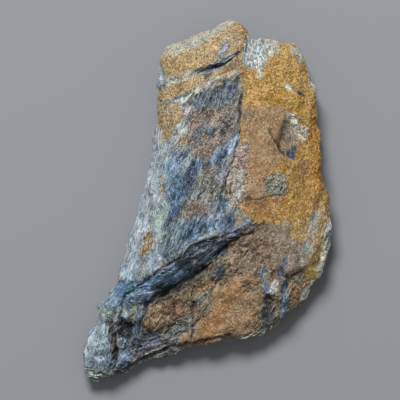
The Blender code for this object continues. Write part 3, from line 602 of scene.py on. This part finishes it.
def frayed(points, angle):
    """Noise stretched along one direction, from about -1 to 1."""
    turn = math.radians(angle)
    along, across = along_and_across(points, math.cos(turn), math.sin(turn))
    grain = np.c_[along / FRAY_LENGTH, across / FRAY_WIDTH, points[:, 2] / FRAY_LENGTH]
    coarse = COARSE_FRAY * smooth_noise(grain, 1.0, angle)
    return coarse + FINE_FRAY * smooth_noise(FINENESS * grain, 1.0, angle + 5.0)


frays = {angle: frayed(places, angle) for angle in sorted({vein[3] for vein in VEINS})}
shades = np.tile(finish_row("gold", 80), (len(places), 1))
covered = {}
for name, finish, fray, angle, outline in VEINS:
    shifted = inside_distance(plan, points_mm(outline)) + fray * frays[angle]
    cover = ease(0.5 + shifted / (SHARPEST + SOFTER * fray))[:, None]
    shades += cover * (finish_row(finish, angle) - shades)
    covered[name] = float(cover.sum())
print("veins:", len(covered), "fibre directions:", len(frays), "widest:", max(covered, key=covered.get))

# %% [markdown]
# ## The sides and the underside
# A slab of pietersite is broken rock all through, so its sides and underside show pieces of every
# vein at odd angles. Carrying the top's outlines down the walls would make vertical stripes. Instead
# the space is cut into blocks round seeded random centres, each point takes the finish of its
# nearest centre, and noise bends the borders. Blue pieces are commoner at the left and gold ones at
# the right, as on top.

# %% Broken blocks for the walls
BLOCK_COUNT, BLOCK_STRETCH = 90, (1.0, 0.7, 1.6)
BLOCK_TURN, BLOCK_TURN_SPREAD = 75.0, 28.0  # the angle of a block's fibres, and how far it varies
MIXING = 0.15  # how far blue and gold blocks stray into each other's side
BIG_BEND, BIG_BEND_SIZE = 7.0, 5.0  # how far noise bends the borders, and the size of its waves
SMALL_BEND, SMALL_BEND_SIZE = 0.4, 1.6  # finer waves, whose bend is a share of the big one
WALL_TOP, WALL_FADE = 13.0, 4.0  # heights
WALL_REACH, WALL_REACH_FADE = 4.5, 2.0  # distances inwards from the outline
STEEP, STEEP_FADE, DOWNWARD, DOWNWARD_FADE = 0.12, 0.25, -0.05, 0.2  # how far upwards a face looks
UNDER_TOP, UNDER_FADE = 5.0, 2.0  # heights, for faces that look down
BLUE_BLOCKS = ["pale_fibre", "steel_blue", "deep_blue", "mottled_blue", "steel_grey", "pale_blue",
               "steel_light", "navy_mottled", "tip_pale", "foot_slate"]
GOLD_BLOCKS = ["gold", "tan", "umber", "orange_brown", "grey_tan", "sand_gold", "umber_block", "pale_fibre",
               "steel_grey", "gold"]
dice = np.random.default_rng(17)
span = np.array(cad_high - cad_low) / MM
centres = dice.uniform(np.array(cad_low) / MM, np.array(cad_high) / MM, (BLOCK_COUNT, 3))
block_rows = []
for centre in centres:
    goldness = 0.5 + centre[0] / span[0] + MIXING * dice.normal()
    choices = GOLD_BLOCKS if goldness > 0.5 else BLUE_BLOCKS
    finish = choices[dice.integers(len(choices))]
    block_rows.append(finish_row(finish, dice.normal(BLOCK_TURN, BLOCK_TURN_SPREAD)))
block_rows = np.array(block_rows)

bend = wander(places, BIG_BEND_SIZE, 41.0, 47.0, 53.0)
bend += SMALL_BEND * wander(places, SMALL_BEND_SIZE, 59.0, 61.0, 67.0)
squashed = (places + BIG_BEND * bend) * BLOCK_STRETCH
nearest = np.full(len(places), np.inf)
block_of = np.zeros(len(places), int)
for index, centre in enumerate(centres * BLOCK_STRETCH):
    away = ((squashed - centre) ** 2).sum(axis=1)
    block_of[away < nearest] = index
    nearest = np.minimum(nearest, away)

OUTLINE = [
    -121, 459, -33, 499, 68, 539, 94, 541, 124, 486, 208, 481, 265, 470, 304, 404, 330, 339, 337, 212,
    348, 139, 346, 66, 372, -28, 363, -181, 326, -239, 279, -319, 228, -344, 210, -384, 68, -417,
    -150, -479, -339, -541, -371, -501, -369, -442, -339, -355, -270, -246, -229, -79, -161, 168,
    -153, 321, -137, 429]
depth_in = inside_distance(plan, points_mm(OUTLINE))
height, upward = places[:, 2], facing[:, 2]
wall = ease((WALL_TOP - height) / WALL_FADE) * ease((STEEP - upward) / STEEP_FADE)
wall *= ease((WALL_REACH - depth_in) / WALL_REACH_FADE)
under = ease((DOWNWARD - upward) / DOWNWARD_FADE) * ease((UNDER_TOP - height) / UNDER_FADE)
broken = np.maximum(wall, under)[:, None]
shades += broken * (block_rows[block_of] - shades)
print("share of points on walls and underside:", round(float((broken > 0.5).mean()), 2))

# %% [markdown]
# ## Relief: fibres, flakes, grains, rubble and seams
# From a hand's width away the surface is a mass of flakes and splinters, each ending in a tiny
# cliff. Real geometry catches the light better than a bump map, and it also keeps the outline rough.
# The points are pushed along their normals by fine ridges that run with the fibres, and by long
# cells that each sit a little higher or lower than the next. Where the mineral is not fibrous, small
# lumps and blocky chips take their place, and where a vein is worn calm, soft billows do. Then seams
# are cut, where one plate has parted from the next, and seams and crevices get painted shade.

# %% Push the skin out and in
RIDGE_WIDTH, RIDGE_LENGTH, RIDGE_HEIGHT = 1.2, 9.0, 0.3
FLAKE_WIDTH, FLAKE_LENGTH, FLAKE_HEIGHT, FLAKE_TILT = 1.3, 6.0, 0.6, 0.6
RUBBLE_SIZE, RUBBLE_HEIGHT, RUBBLE_TILT = 1.7, 0.6, 1.0
GRAIN_SIZE, GRAIN_HEIGHT = 0.9, 0.35
BILLOW_SIZE, BILLOW_HEIGHT = 2.4, 1.4
LUMP_SIZE, LUMP_HEIGHT = 4.5, 0.6
CREVICE_WIDTH, CREVICE_DEPTH = 0.12, 0.3
CREVICE_PATCH, CREVICE_CONTRAST = 3.0, 3.0  # crevices show in patches of this size
CELL_WANDER, CELL_WANDER_SIZE = 0.7, 2.2  # how far the edges of flakes and chunks bend
SEAM_WANDER, SEAM_WANDER_SIZE, SEAM_FADE = 0.9, 2.4, 1.3  # how far seams bend, how softly they end
CREVICE_SHADE_STRENGTH, SEAM_SHADE_STRENGTH = 0.7, 0.9  # how dark their painted shade is, from 0 to 1

run = shades[:, RUN] / np.linalg.norm(shades[:, RUN], axis=1, keepdims=True).clip(1e-6)
fibrous, rubbly, liveliness = shades[:, FIBRE], shades[:, RUBBLE], shades[:, LIVELY]


def fibre_space(points, width, length):
    """Coordinates squeezed so that one unit is one fibre's width across it and one length along it."""
    along, across = along_and_across(points, run[:, 0], run[:, 1])
    return np.c_[along / length, across / width, points[:, 2] / width]


def chipped(points, tilt):
    """Each point's cell: its height and tone from -0.5 to 0.5, and how near the point is to its edge."""
    found = np.empty((len(points), 3))
    for row, point in enumerate(points):
        gaps, seeds = noise.voronoi(Vector(point))
        seed = seeds[0]
        lean = noise.cell_vector(seed * 91.7)
        slope = (Vector(point) - seed).dot(lean - Vector((0.5, 0.5, 0.5)))
        found[row] = (noise.cell(seed * 57.3) - 0.5 + tilt * slope, lean.x - 0.5, gaps[1] - gaps[0])
    return found.T


ridges = 0.5 - np.abs(2.0 * smooth_noise(fibre_space(places, RIDGE_WIDTH, RIDGE_LENGTH), 1.0, 3.0))
bent = places + CELL_WANDER * wander(places, CELL_WANDER_SIZE, 81.0, 83.0, 87.0)
flake_height, flake_tone, flake_gap = chipped(fibre_space(bent, FLAKE_WIDTH, FLAKE_LENGTH), FLAKE_TILT)
chunk_height, chunk_tone, chunk_gap = chipped(bent / RUBBLE_SIZE, RUBBLE_TILT)
grains = smooth_noise(places, GRAIN_SIZE, 15.0)
lumps = smooth_noise(places, LUMP_SIZE, 23.0)
patchy = ease(CREVICE_CONTRAST * smooth_noise(places, CREVICE_PATCH, 29.0) + 0.5)
crevice = patchy * np.maximum(ease(1.0 - flake_gap / CREVICE_WIDTH) * fibrous,
                              ease(1.0 - chunk_gap / CREVICE_WIDTH) * rubbly)
chip_tone = flake_tone * fibrous + chunk_tone * rubbly
push = RIDGE_HEIGHT * fibrous * ridges + FLAKE_HEIGHT * at_least(0.15, fibrous) * flake_height
push += RUBBLE_HEIGHT * rubbly * chunk_height + GRAIN_HEIGHT * (1.1 - fibrous) * grains
billows = smooth_noise(places, BILLOW_SIZE, 35.0)
billows *= BILLOW_HEIGHT * (1.0 - liveliness) * at_least(0.2, fibrous)
push = liveliness * push + billows
push += LUMP_HEIGHT * lumps - CREVICE_DEPTH * crevice

SEAMS = [
    # name, half width, depth, and the points of its line
    ("edge of the upper plate", 0.34, 0.5, [
        103, 314, 99, 275, 97, 230, 94, 191, 82, 155, 70, 119, 61, 80, 49, 41, 40, 5]),
    ("slit", 0.25, 0.4, [94, 446, 56, 416, 26, 402]),
    ("upper lip of the scarp", 0.35, 0.4, [
        148, -66, 103, -88, 42, -109, -25, -131, -82, -169, -152, -209, -205, -244]),
    ("foot of the scarp", 0.4, 0.6, [
        140, -90, 79, -116, 11, -183, -50, -227, -116, -270, -181, -306, -200, -325]),
    ("line over the wedge", 0.25, 0.4, [-254, -289, -236, -265, -200, -247, -170, -229]),
    ("first rib of the brown block", 0.35, 0.4, [-96, -316, -92, -340, -84, -372]),
    ("second rib of the brown block", 0.35, 0.4, [-52, -312, -46, -334, -43, -360]),
    ("top of the brown block", 0.4, 0.5, [-162, -312, -136, -296, -104, -286]),
    ("seam across the wedge", 0.45, 0.8, [
        -176, -238, -200, -250, -236, -268, -253, -289, -257, -319, -262, -361]),
    ("seam behind the brown block", 0.45, 0.8, [-179, -304, -191, -340, -203, -379, -218, -415]),
    ("step in the lower ledge", 0.5, 0.9, [-43, -256, -39, -310, -40, -360, -46, -410]),
    ("crack across the tip", 0.45, 0.6, [-296, -361, -284, -394, -278, -439, -275, -481, -269, -529]),
    ("crack round the grey step", 0.22, 0.3, [166, -268, 184, -283, 202, -298, 217, -301]),
    ("crack over the corner block", 0.28, 0.7, [235, -223, 247, -232, 265, -223, 287, -209]),
    ("crack into the pit", 0.36, 0.5, [184, 214, 216, 167, 241, 134]),
    ("ledge under the brown plate", 0.3, 0.3, [115, 6, 175, 12, 234, 22]),
    ("top of the lower lip", 0.5, 0.9, [-284, -526, -200, -478, -140, -449, -77, -433, -5, -418, 70, -404]),
]
wandering = plan + SEAM_WANDER * wander(places, SEAM_WANDER_SIZE, 71.0, 73.0)
# painted shade: crevices and seams are made dark in the shader, and chips keep out of them
seam = CREVICE_SHADE_STRENGTH * crevice
for _, half_width, depth, line in SEAMS:
    away = line_distance(wandering, points_mm(line)) / half_width
    closeness = ease(SEAM_FADE - away / SEAM_FADE) * (1.0 - broken[:, 0])
    push -= depth * closeness
    seam = np.maximum(seam, SEAM_SHADE_STRENGTH * closeness)

places += push[:, None] * facing
places[:, 2] = np.maximum(places[:, 2], 0.0)
write_places(skin_mesh, places)
print("relief, mm:", round(float(push.min()), 2), "to", round(float(push.max()), 2))
print("seams:", ", ".join(name for name, *_ in SEAMS))

# %% [markdown]
# ## Painted shade in hollows, painted light on ridges
# Hollows are given painted shade and ridges painted light, as light would fall on them. A point lies
# in a hollow when the mean of its neighbours lies outside it, so averaging the mesh and comparing
# gives a number that is above 0 in hollows and below 0 on ridges, from any side.

# %% Measure the hollows
HOLLOW_ROUNDS, FULL_HOLLOW = 5, 0.5  # rounds of averaging, and the depth in mm that counts as 1
COLOURS = {"hollow_colour": HOLLOW, "body_colour": BODY, "highlight_colour": HIGHLIGHT}
NUMBERS = {"wave": WAVE, "liveliness": LIVELY, "sparkle": SHINE}
averaged = places
for _ in range(HOLLOW_ROUNDS):
    averaged = neighbour_average(skin_mesh, averaged)
facing = read_vectors(skin_mesh.vertex_normals, "vector")
hollow = np.clip(((averaged - places) * facing).sum(axis=1) / FULL_HOLLOW, -1.0, 1.0)


def store(mesh, name, kind, values):
    """Keeps one row of numbers for each point, under a name that a shader can ask for."""
    layer = mesh.attributes.new(name, kind, "POINT")
    field = {"FLOAT": "value", "FLOAT_VECTOR": "vector", "FLOAT_COLOR": "color"}[kind]
    if kind == "FLOAT_COLOR":
        values = np.c_[values, np.ones(len(values))]
    layer.data.foreach_set(field, values.astype(np.float32).ravel())


def dress(mesh, rows, **numbers):
    """Gives a mesh all the numbers that the stone's shader asks for; `rows` are points of the skin."""
    for name, columns in COLOURS.items():
        store(mesh, name, "FLOAT_COLOR", shades[rows, columns])
    store(mesh, "fibre_run", "FLOAT_VECTOR", np.c_[run[rows], fibrous[rows]])
    for name, column in NUMBERS.items():
        store(mesh, name, "FLOAT", shades[rows, column])
    for name, values in numbers.items():
        store(mesh, name, "FLOAT", values)
    mesh.materials.clear()


dress(skin_mesh, np.arange(len(places)), hollow=hollow, seam=seam, chip_tone=chip_tone)
print("attributes:", [layer.name for layer in skin_mesh.attributes if not layer.name.startswith(".")])

# %% [markdown]
# ## Writing a shader as sums
# A node tree is a sum drawn as boxes. Written out node by node it is long and hard to read, so the
# two small classes below let it be typed as Python: `Wire` is one output of a node, and adding or
# multiplying wires adds Math nodes. `Recipe` is a material, and its `node` method makes any other
# node from its type, its settings and what goes into its sockets.

# %% Wires and recipes
class Wire:
    """One output of a shader node, which can be used in sums."""

    def __init__(self, recipe, socket):
        self.recipe = recipe
        self.socket = socket

    def maths(self, operation, *values):
        return self.recipe.node("ShaderNodeMath", {"operation": operation}, dict(enumerate(values)))

    def __add__(self, other):
        return self.maths("ADD", self, other)

    def __sub__(self, other):
        return self.maths("SUBTRACT", self, other)

    def __rsub__(self, other):
        return self.maths("SUBTRACT", other, self)

    def __mul__(self, other):
        return self.maths("MULTIPLY", self, other)

    def __truediv__(self, other):
        return self.maths("DIVIDE", self, other)

    def over(self, other):
        """1 where this is above the other, else 0."""
        return self.maths("GREATER_THAN", self, other)

    __radd__ = __add__
    __rmul__ = __mul__


class Recipe:
    """A material, with one way to make each kind of node."""

    def __init__(self, name):
        self.material = bpy.data.materials.new(name)
        self.material.use_nodes = True
        self.tree = self.material.node_tree
        self.surface = self.tree.nodes["Principled BSDF"]

    def feed(self, socket, value):
        if isinstance(value, Wire):
            self.tree.links.new(value.socket, socket)
        else:
            socket.default_value = value

    def node(self, kind, settings=None, sockets=None, out=0):
        made = self.tree.nodes.new(kind)
        for name, value in (settings or {}).items():
            setattr(made, name, value)
        for name, value in (sockets or {}).items():
            self.feed(made.inputs[name], value)
        return Wire(self, made.outputs[out])

    def mix(self, share, first, second, blend="MIX"):
        """Blends two colours; sockets 6 and 7 are a Mix node's colour inputs."""
        settings = {"data_type": "RGBA", "blend_type": blend}
        return self.node("ShaderNodeMix", settings, {0: share, 6: first, 7: second}, out=2)

    def ease(self, value, low, high):
        """0 below low, 1 above high, and a smooth ramp between."""
        settings = {"interpolation_type": "SMOOTHSTEP"}
        sockets = {"Value": value, "From Min": low, "From Max": high}
        return self.node("ShaderNodeMapRange", settings, sockets)

    def attribute(self, name, out="Color"):
        return self.node("ShaderNodeAttribute", {"attribute_name": name}, out=out)

    def parts(self, vector):
        """The x, y and z of a vector, as three wires."""
        split = self.node("ShaderNodeSeparateXYZ", None, {0: vector})
        return [Wire(self, output) for output in split.socket.node.outputs]

    def point(self, x, y, z):
        return self.node("ShaderNodeCombineXYZ", None, {0: x, 1: y, 2: z})

    def noise(self, vector, detail=3.0, roughness=0.55):
        return self.node("ShaderNodeTexNoise", None, {
            "Vector": vector, "Scale": 1.0, "Detail": detail, "Roughness": roughness})


# %% [markdown]
# ## The shader that draws every vein
# The shader asks each point which way its fibres run and how fibrous it is. Coordinates turned to
# that direction and squeezed across it make long thin streaks out of plain noise. Grainy minerals
# use a Voronoi texture, which gives each grain a tone of its own. Both end in one number, the tone,
# which picks between the three colours of the finish. It is the same number that feeds the bump, so
# pale fibres also stand proud.

# %% Mix the stone's shader
BROAD_SIZE = 3.5  # patches of lighter and darker rock
WAVE_SIZE, WAVE_HEIGHT = 6.0, 4.5  # how the fibres wander
STRAND, HAIR, STROKE = (13.0, 0.8), (5.5, 0.27), (7.0, 0.5)  # length along the fibres, then width
SAND_SIZE, DUST_SIZE, CRYSTAL_SIZE = 0.8, 0.3, 0.45  # grains, from soft noise to sharp cells
CONTRAST, BROAD_CONTRAST, HOLLOW_SHADE = 2.8, 1.2, 0.4  # how far each moves the tone


def lumps_of(size):
    """Coordinates in which one unit is `size` millimetres each way."""
    return rock.point(x / size, y / size, z / size)


def threads_of(length, width, start=0.0):
    """Coordinates in which one unit is `length` along the fibres and `width` across them.

    A `start` slides them along, so that they don't match threads drawn from the same noise.
    """
    ahead = along / length + start if start else along / length
    return rock.point(ahead, across / width, z / width)


rock = Recipe("fibrous_rock")
x, y, z = rock.parts(rock.node("ShaderNodeTexCoord", out="Object"))
x, y, z = x / MM, y / MM, z / MM
cosine, sine, fibre_share = rock.parts(rock.attribute("fibre_run", "Vector"))
broad = rock.noise(lumps_of(BROAD_SIZE), 2.0)
along = x * cosine + y * sine
wave = WAVE_HEIGHT * (rock.noise(lumps_of(WAVE_SIZE), 1.0) - 0.5) * rock.attribute("wave", "Fac")
across = y * cosine - x * sine + wave
strand = rock.noise(threads_of(*STRAND), 2.0, 0.6) - 0.5
hair = rock.noise(threads_of(*HAIR), 1.0) - 0.5
sand = rock.noise(lumps_of(SAND_SIZE), 1.0) - 0.5
dust = rock.noise(lumps_of(DUST_SIZE), 1.0) - 0.5
crystals = rock.node("ShaderNodeTexVoronoi", None, {
    "Vector": lumps_of(CRYSTAL_SIZE), "Scale": 1.0}, out="Color")
crystal_tone, crystal_glint, crystal_hue = rock.parts(crystals)

# the plain numbers in the sums below are the weights of their parts
fibre_tone = strand + 1.3 * hair + 0.2 * dust
sugar_tone = 0.6 * sand + dust + 0.26 * (crystal_tone - 0.5)
stroke = rock.ease(rock.noise(threads_of(*STROKE, 9.0), 1.0), 0.62, 0.74)
texture = fibre_tone * fibre_share + sugar_tone * (1 - fibre_share)
texture = (texture - 0.24 * stroke * fibre_share) * at_least(0.35, rock.attribute("liveliness", "Fac"))
texture = texture + 0.55 * dust
hollow_shade_here = rock.attribute("hollow", "Fac")
seam_shade_here = rock.attribute("seam", "Fac")
chip = rock.attribute("chip_tone", "Fac")
# painted shade: hollows lower the tone and ridges raise it, by HOLLOW_SHADE
tone = 0.5 + CONTRAST * texture + BROAD_CONTRAST * (broad - 0.5) - HOLLOW_SHADE * hollow_shade_here
tone = tone + (0.5 - 0.2 * fibre_share) * chip
colour = rock.mix(rock.ease(tone, 0.0, 0.5), rock.attribute("hollow_colour"), rock.attribute("body_colour"))
colour = rock.mix(rock.ease(tone, 0.5, 1.0), colour, rock.attribute("highlight_colour"))
print("shader nodes so far:", len(rock.tree.nodes))

# %% [markdown]
# Four more things make it read as stone. No vein is pure, so patches a few millimetres wide lean
# warm or cool, and green or pink. Seams and crevices get painted shade, almost black. A few grains
# are dark iron specks, and a few are clean quartz that shines: less rough, and paler, partly by
# their own colour and partly by a painted glint. The bump uses the same texture, a few tenths of a
# millimetre deep.

# %% Tints, painted shade in seams, specks, and gloss with painted glints
WARM, COOL = (1.10, 1.0, 0.87, 1.0), (0.91, 1.0, 1.07, 1.0)
GREEN, PINK = (0.96, 1.03, 0.97, 1.0), (1.04, 0.98, 1.02, 1.0)
# painted shade in seams and crevices: its near-black colour, and how far it covers
SEAM_SHADE_COLOUR, SEAM_SHADE_COVER = (0.010, 0.011, 0.015, 1.0), 0.85
SPECK_STAIN, SPECK_COVER, SPECK_RARITY = (0.055, 0.040, 0.026, 1.0), 0.5, 0.95
# shining grains are paler, partly their own pale quartz and partly a painted glint highlight
GLINT, GLINT_COVER = (0.60, 0.58, 0.52, 1.0), 0.4
WARMTH_SIZE, GREENNESS_SIZE = 4.5, 3.5
BUMP_DEPTH, BUMP_STRENGTH = 0.4, 0.9
USUAL_ROUGHNESS, QUARTZ_IOR = 0.72, 1.54
warmth = rock.noise(rock.point(x / WARMTH_SIZE + 40.0, y / WARMTH_SIZE, z / WARMTH_SIZE), 1.0)
greenness = rock.noise(rock.point(x / GREENNESS_SIZE, y / GREENNESS_SIZE + 70.0, z / GREENNESS_SIZE), 0.0)
tinted = 0.4 + 0.5 * fibre_share
colour = rock.mix(tinted, colour, rock.mix(rock.ease(warmth, 0.25, 0.75), COOL, WARM), "MULTIPLY")
colour = rock.mix(tinted, colour, rock.mix(rock.ease(greenness, 0.2, 0.8), GREEN, PINK), "MULTIPLY")
colour = rock.mix(seam_shade_here * SEAM_SHADE_COVER, colour, SEAM_SHADE_COLOUR)
speck = crystal_hue.over(SPECK_RARITY) * rock.ease(broad, 0.4, 0.6)
colour = rock.mix(speck * SPECK_COVER, colour, SPECK_STAIN)
glint = (crystal_glint + rock.attribute("sparkle", "Fac")).over(1.0)
glint = glint * (1 - seam_shade_here) * (1 - 0.8 * fibre_share)
colour = rock.mix(glint * GLINT_COVER, colour, GLINT)
bump = rock.node("ShaderNodeBump", None, {
    "Strength": BUMP_STRENGTH, "Distance": BUMP_DEPTH * MM,
    "Height": texture + 0.1 * crystal_tone}, out="Normal")
roughness = USUAL_ROUGHNESS - 0.16 * fibre_share - 0.3 * glint + 0.3 * texture
rock.feed(rock.surface.inputs["Base Color"], colour)
rock.feed(rock.surface.inputs["Normal"], bump)
rock.feed(rock.surface.inputs["Roughness"], roughness)
rock.surface.inputs["IOR"].default_value = QUARTZ_IOR

skin_mesh.materials.append(rock.material)
skin_mesh.polygons.foreach_set("use_smooth", np.ones(len(skin_mesh.polygons), bool))
stone = link("stone_skin", skin_mesh)
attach(stone, "root")
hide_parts(NODE)
print("shader nodes:", len(rock.tree.nodes))

# %% [markdown]
# ## Loose splinters and grains
# The finest things on the stone stand clear of the skin: slivers that have lifted along the fibres,
# and grains that crust the gold side. Each could be an instance of one small mesh, but one joined
# mesh of them is simpler to keep and to export. A chip here is a flat diamond with one raised point,
# six small faces in all, sunk a little into the skin. Long narrow chips are splinters and short wide
# ones are grains. They carry the numbers of the skin that they grow on and share its shader, so the
# veins run on through them.

# %% Scatter chips over the skin
LOWEST_CHIP, FLOOR_GAP, SINK = 1.0, 0.05, 0.12  # heights above the floor, and depth under the skin
CHIP_PAINTED_LIGHT, CHIP_TONE = -0.2, 0.9  # chips are painted lighter, as lit ridges, and each has a lightness of its own
CORNERS, PEAK_SHIFT = 5, 0.3  # the raised corner lies up to this share of the length off the middle
TURN_DRIFT, TURN_DRIFT_SIZE = 4.0, 5.0  # chips that lie together turn together


def scatter_chips(name, count, weight, length, width, height, lift, turn, seed):
    """One joined mesh of chips. Length, width, height and lift are each a lowest and a highest value."""
    dice = np.random.default_rng(seed)
    weight = weight * (places[:, 2] > LOWEST_CHIP)
    spots = dice.choice(len(places), count, replace=False, p=weight / weight.sum())
    normal = facing[spots]
    angle = np.arctan2(run[spots, 1], run[spots, 0])
    drift = TURN_DRIFT * smooth_noise(places[spots], TURN_DRIFT_SIZE, 91.0)
    angle += np.radians(turn) * (dice.normal(size=count) + drift)
    ahead = np.c_[np.cos(angle), np.sin(angle), np.zeros(count)]
    ahead -= (ahead * normal).sum(axis=1, keepdims=True) * normal
    ahead /= np.linalg.norm(ahead, axis=1, keepdims=True).clip(0.05)
    aside = np.cross(normal, ahead)
    short = dice.uniform(0.0, 1.0, (count, 1)) ** 2
    long = length[0] + short * (length[1] - length[0])
    wide, high, raised = (dice.uniform(*limits, (count, 1)) for limits in (width, height, lift))
    sink = places[spots] - SINK * normal
    peak = dice.uniform(-PEAK_SHIFT, PEAK_SHIFT, (count, 1))
    corners = np.stack([
        sink - 0.5 * long * ahead,
        sink - 0.5 * wide * aside,
        sink + 0.5 * long * ahead + raised * normal,
        sink + 0.5 * wide * aside,
        sink + peak * long * ahead + (high + SINK + raised * (0.5 + peak)) * normal,
    ], axis=1)
    corners[:, :, 2] = np.maximum(corners[:, :, 2], FLOOR_GAP)
    around = np.array([(0, 1, 4), (1, 2, 4), (2, 3, 4), (3, 0, 4), (0, 2, 1), (0, 3, 2)])
    faces = (CORNERS * np.arange(count)[:, None, None] + around).reshape(-1, 3)
    mesh = bpy.data.meshes.new(name)
    mesh.from_pydata((corners.reshape(-1, 3) * MM).tolist(), [], faces.tolist())
    tones = np.repeat(dice.uniform(-CHIP_TONE, CHIP_TONE, count), CORNERS)
    dress(mesh, np.repeat(spots, CORNERS), hollow=np.full(len(tones), CHIP_PAINTED_LIGHT),
          seam=np.zeros(len(tones)), chip_tone=tones)
    mesh.materials.append(rock.material)
    chips = link(name, mesh)
    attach(chips, "root")
    print(name, "faces:", len(mesh.polygons))


clear = 1.0 - ease(2.0 * seam)
tufted = clear * (fibrous * liveliness) ** 2 * at_least(0.2, ease(depth_in - 0.5))
tufted *= ease(0.5 + 2.5 * smooth_noise(places, 4.0, 95.0)) * ease((facing[:, 2] - 0.1) / 0.3)
sugary = clear * (1.0 - fibrous) ** 2 * (facing[:, 2] > -0.25)
scatter_chips("fibre_splinters", count=6500, weight=tufted, length=(1.5, 6.0), width=(0.22, 0.42),
              height=(0.03, 0.13), lift=(0.0, 0.2), turn=6, seed=5)
scatter_chips("crust_grains", count=26000, weight=sugary, length=(0.3, 0.8), width=(0.3, 0.6),
              height=(0.04, 0.18), lift=(0.0, 0.06), turn=90, seed=7)

# %% [markdown]
# ## Floor, light and camera
# The stone lies on a plain floor under one broad soft lamp, high at the upper left, so its shadow is
# short and falls to the lower right. The rest of the light comes from all round, as in a white tent.
# The camera looks straight down from far off, so upright walls hide behind their own edges.

# %% Set up the studio
PAPER = (131, 133, 137)
LAMP_WIDTH, LAMP_POWER, LAMP_PLACE = 0.36, 15.9, (-0.14, 0.62, 0.95)  # metres, watts, metres
SKY_STRENGTH = 0.335
half = 1.5  # half of the floor's side, in metres
floor_mesh = bpy.data.meshes.new("floor")
corners = [(-half, -half, 0), (half, -half, 0), (half, half, 0), (-half, half, 0)]
floor_mesh.from_pydata(corners, [], [(0, 1, 2, 3)])
floor = link("floor", floor_mesh)
paper = Recipe("grey_paper")
paper.surface.inputs["Base Color"].default_value = (*linear(PAPER), 1.0)
paper.surface.inputs["Roughness"].default_value = 0.95
paper.surface.inputs["Specular IOR Level"].default_value = 0.1
floor_mesh.materials.append(paper.material)

lamp_data = bpy.data.lights.new("soft_lamp", "AREA")
lamp_data.shape = "DISK"
lamp_data.size = LAMP_WIDTH
lamp_data.energy = LAMP_POWER
lamp = link("soft_lamp", lamp_data)
lamp.location = LAMP_PLACE
lamp.rotation_mode = "QUATERNION"
lamp.rotation_quaternion = (-lamp.location).to_track_quat("-Z", "Y")

world = bpy.data.worlds.new("white_tent")
world.use_nodes = True
world.node_tree.nodes["Background"].inputs["Color"].default_value = (1.0, 1.0, 1.0, 1.0)
world.node_tree.nodes["Background"].inputs["Strength"].default_value = SKY_STRENGTH
bpy.context.scene.world = world
bpy.context.scene.view_settings.view_transform = "Standard"

VIEW_MIDDLE, VIEW_WIDTH, CAMERA_HEIGHT, SENSOR_WIDTH = (-2.14, 0.13, 12.0), 120.0, 2400.0, 36.0
camera_data = bpy.data.cameras.new("camera")
camera_data.sensor_width = SENSOR_WIDTH
camera_data.lens = SENSOR_WIDTH * CAMERA_HEIGHT / VIEW_WIDTH
camera_data.clip_end = 10.0
camera = link("camera", camera_data)
camera.location = Vector(VIEW_MIDDLE) * MM + Vector((0.0, 0.0, CAMERA_HEIGHT * MM))
bpy.context.scene.camera = camera
print("camera lens, mm:", camera_data.lens)
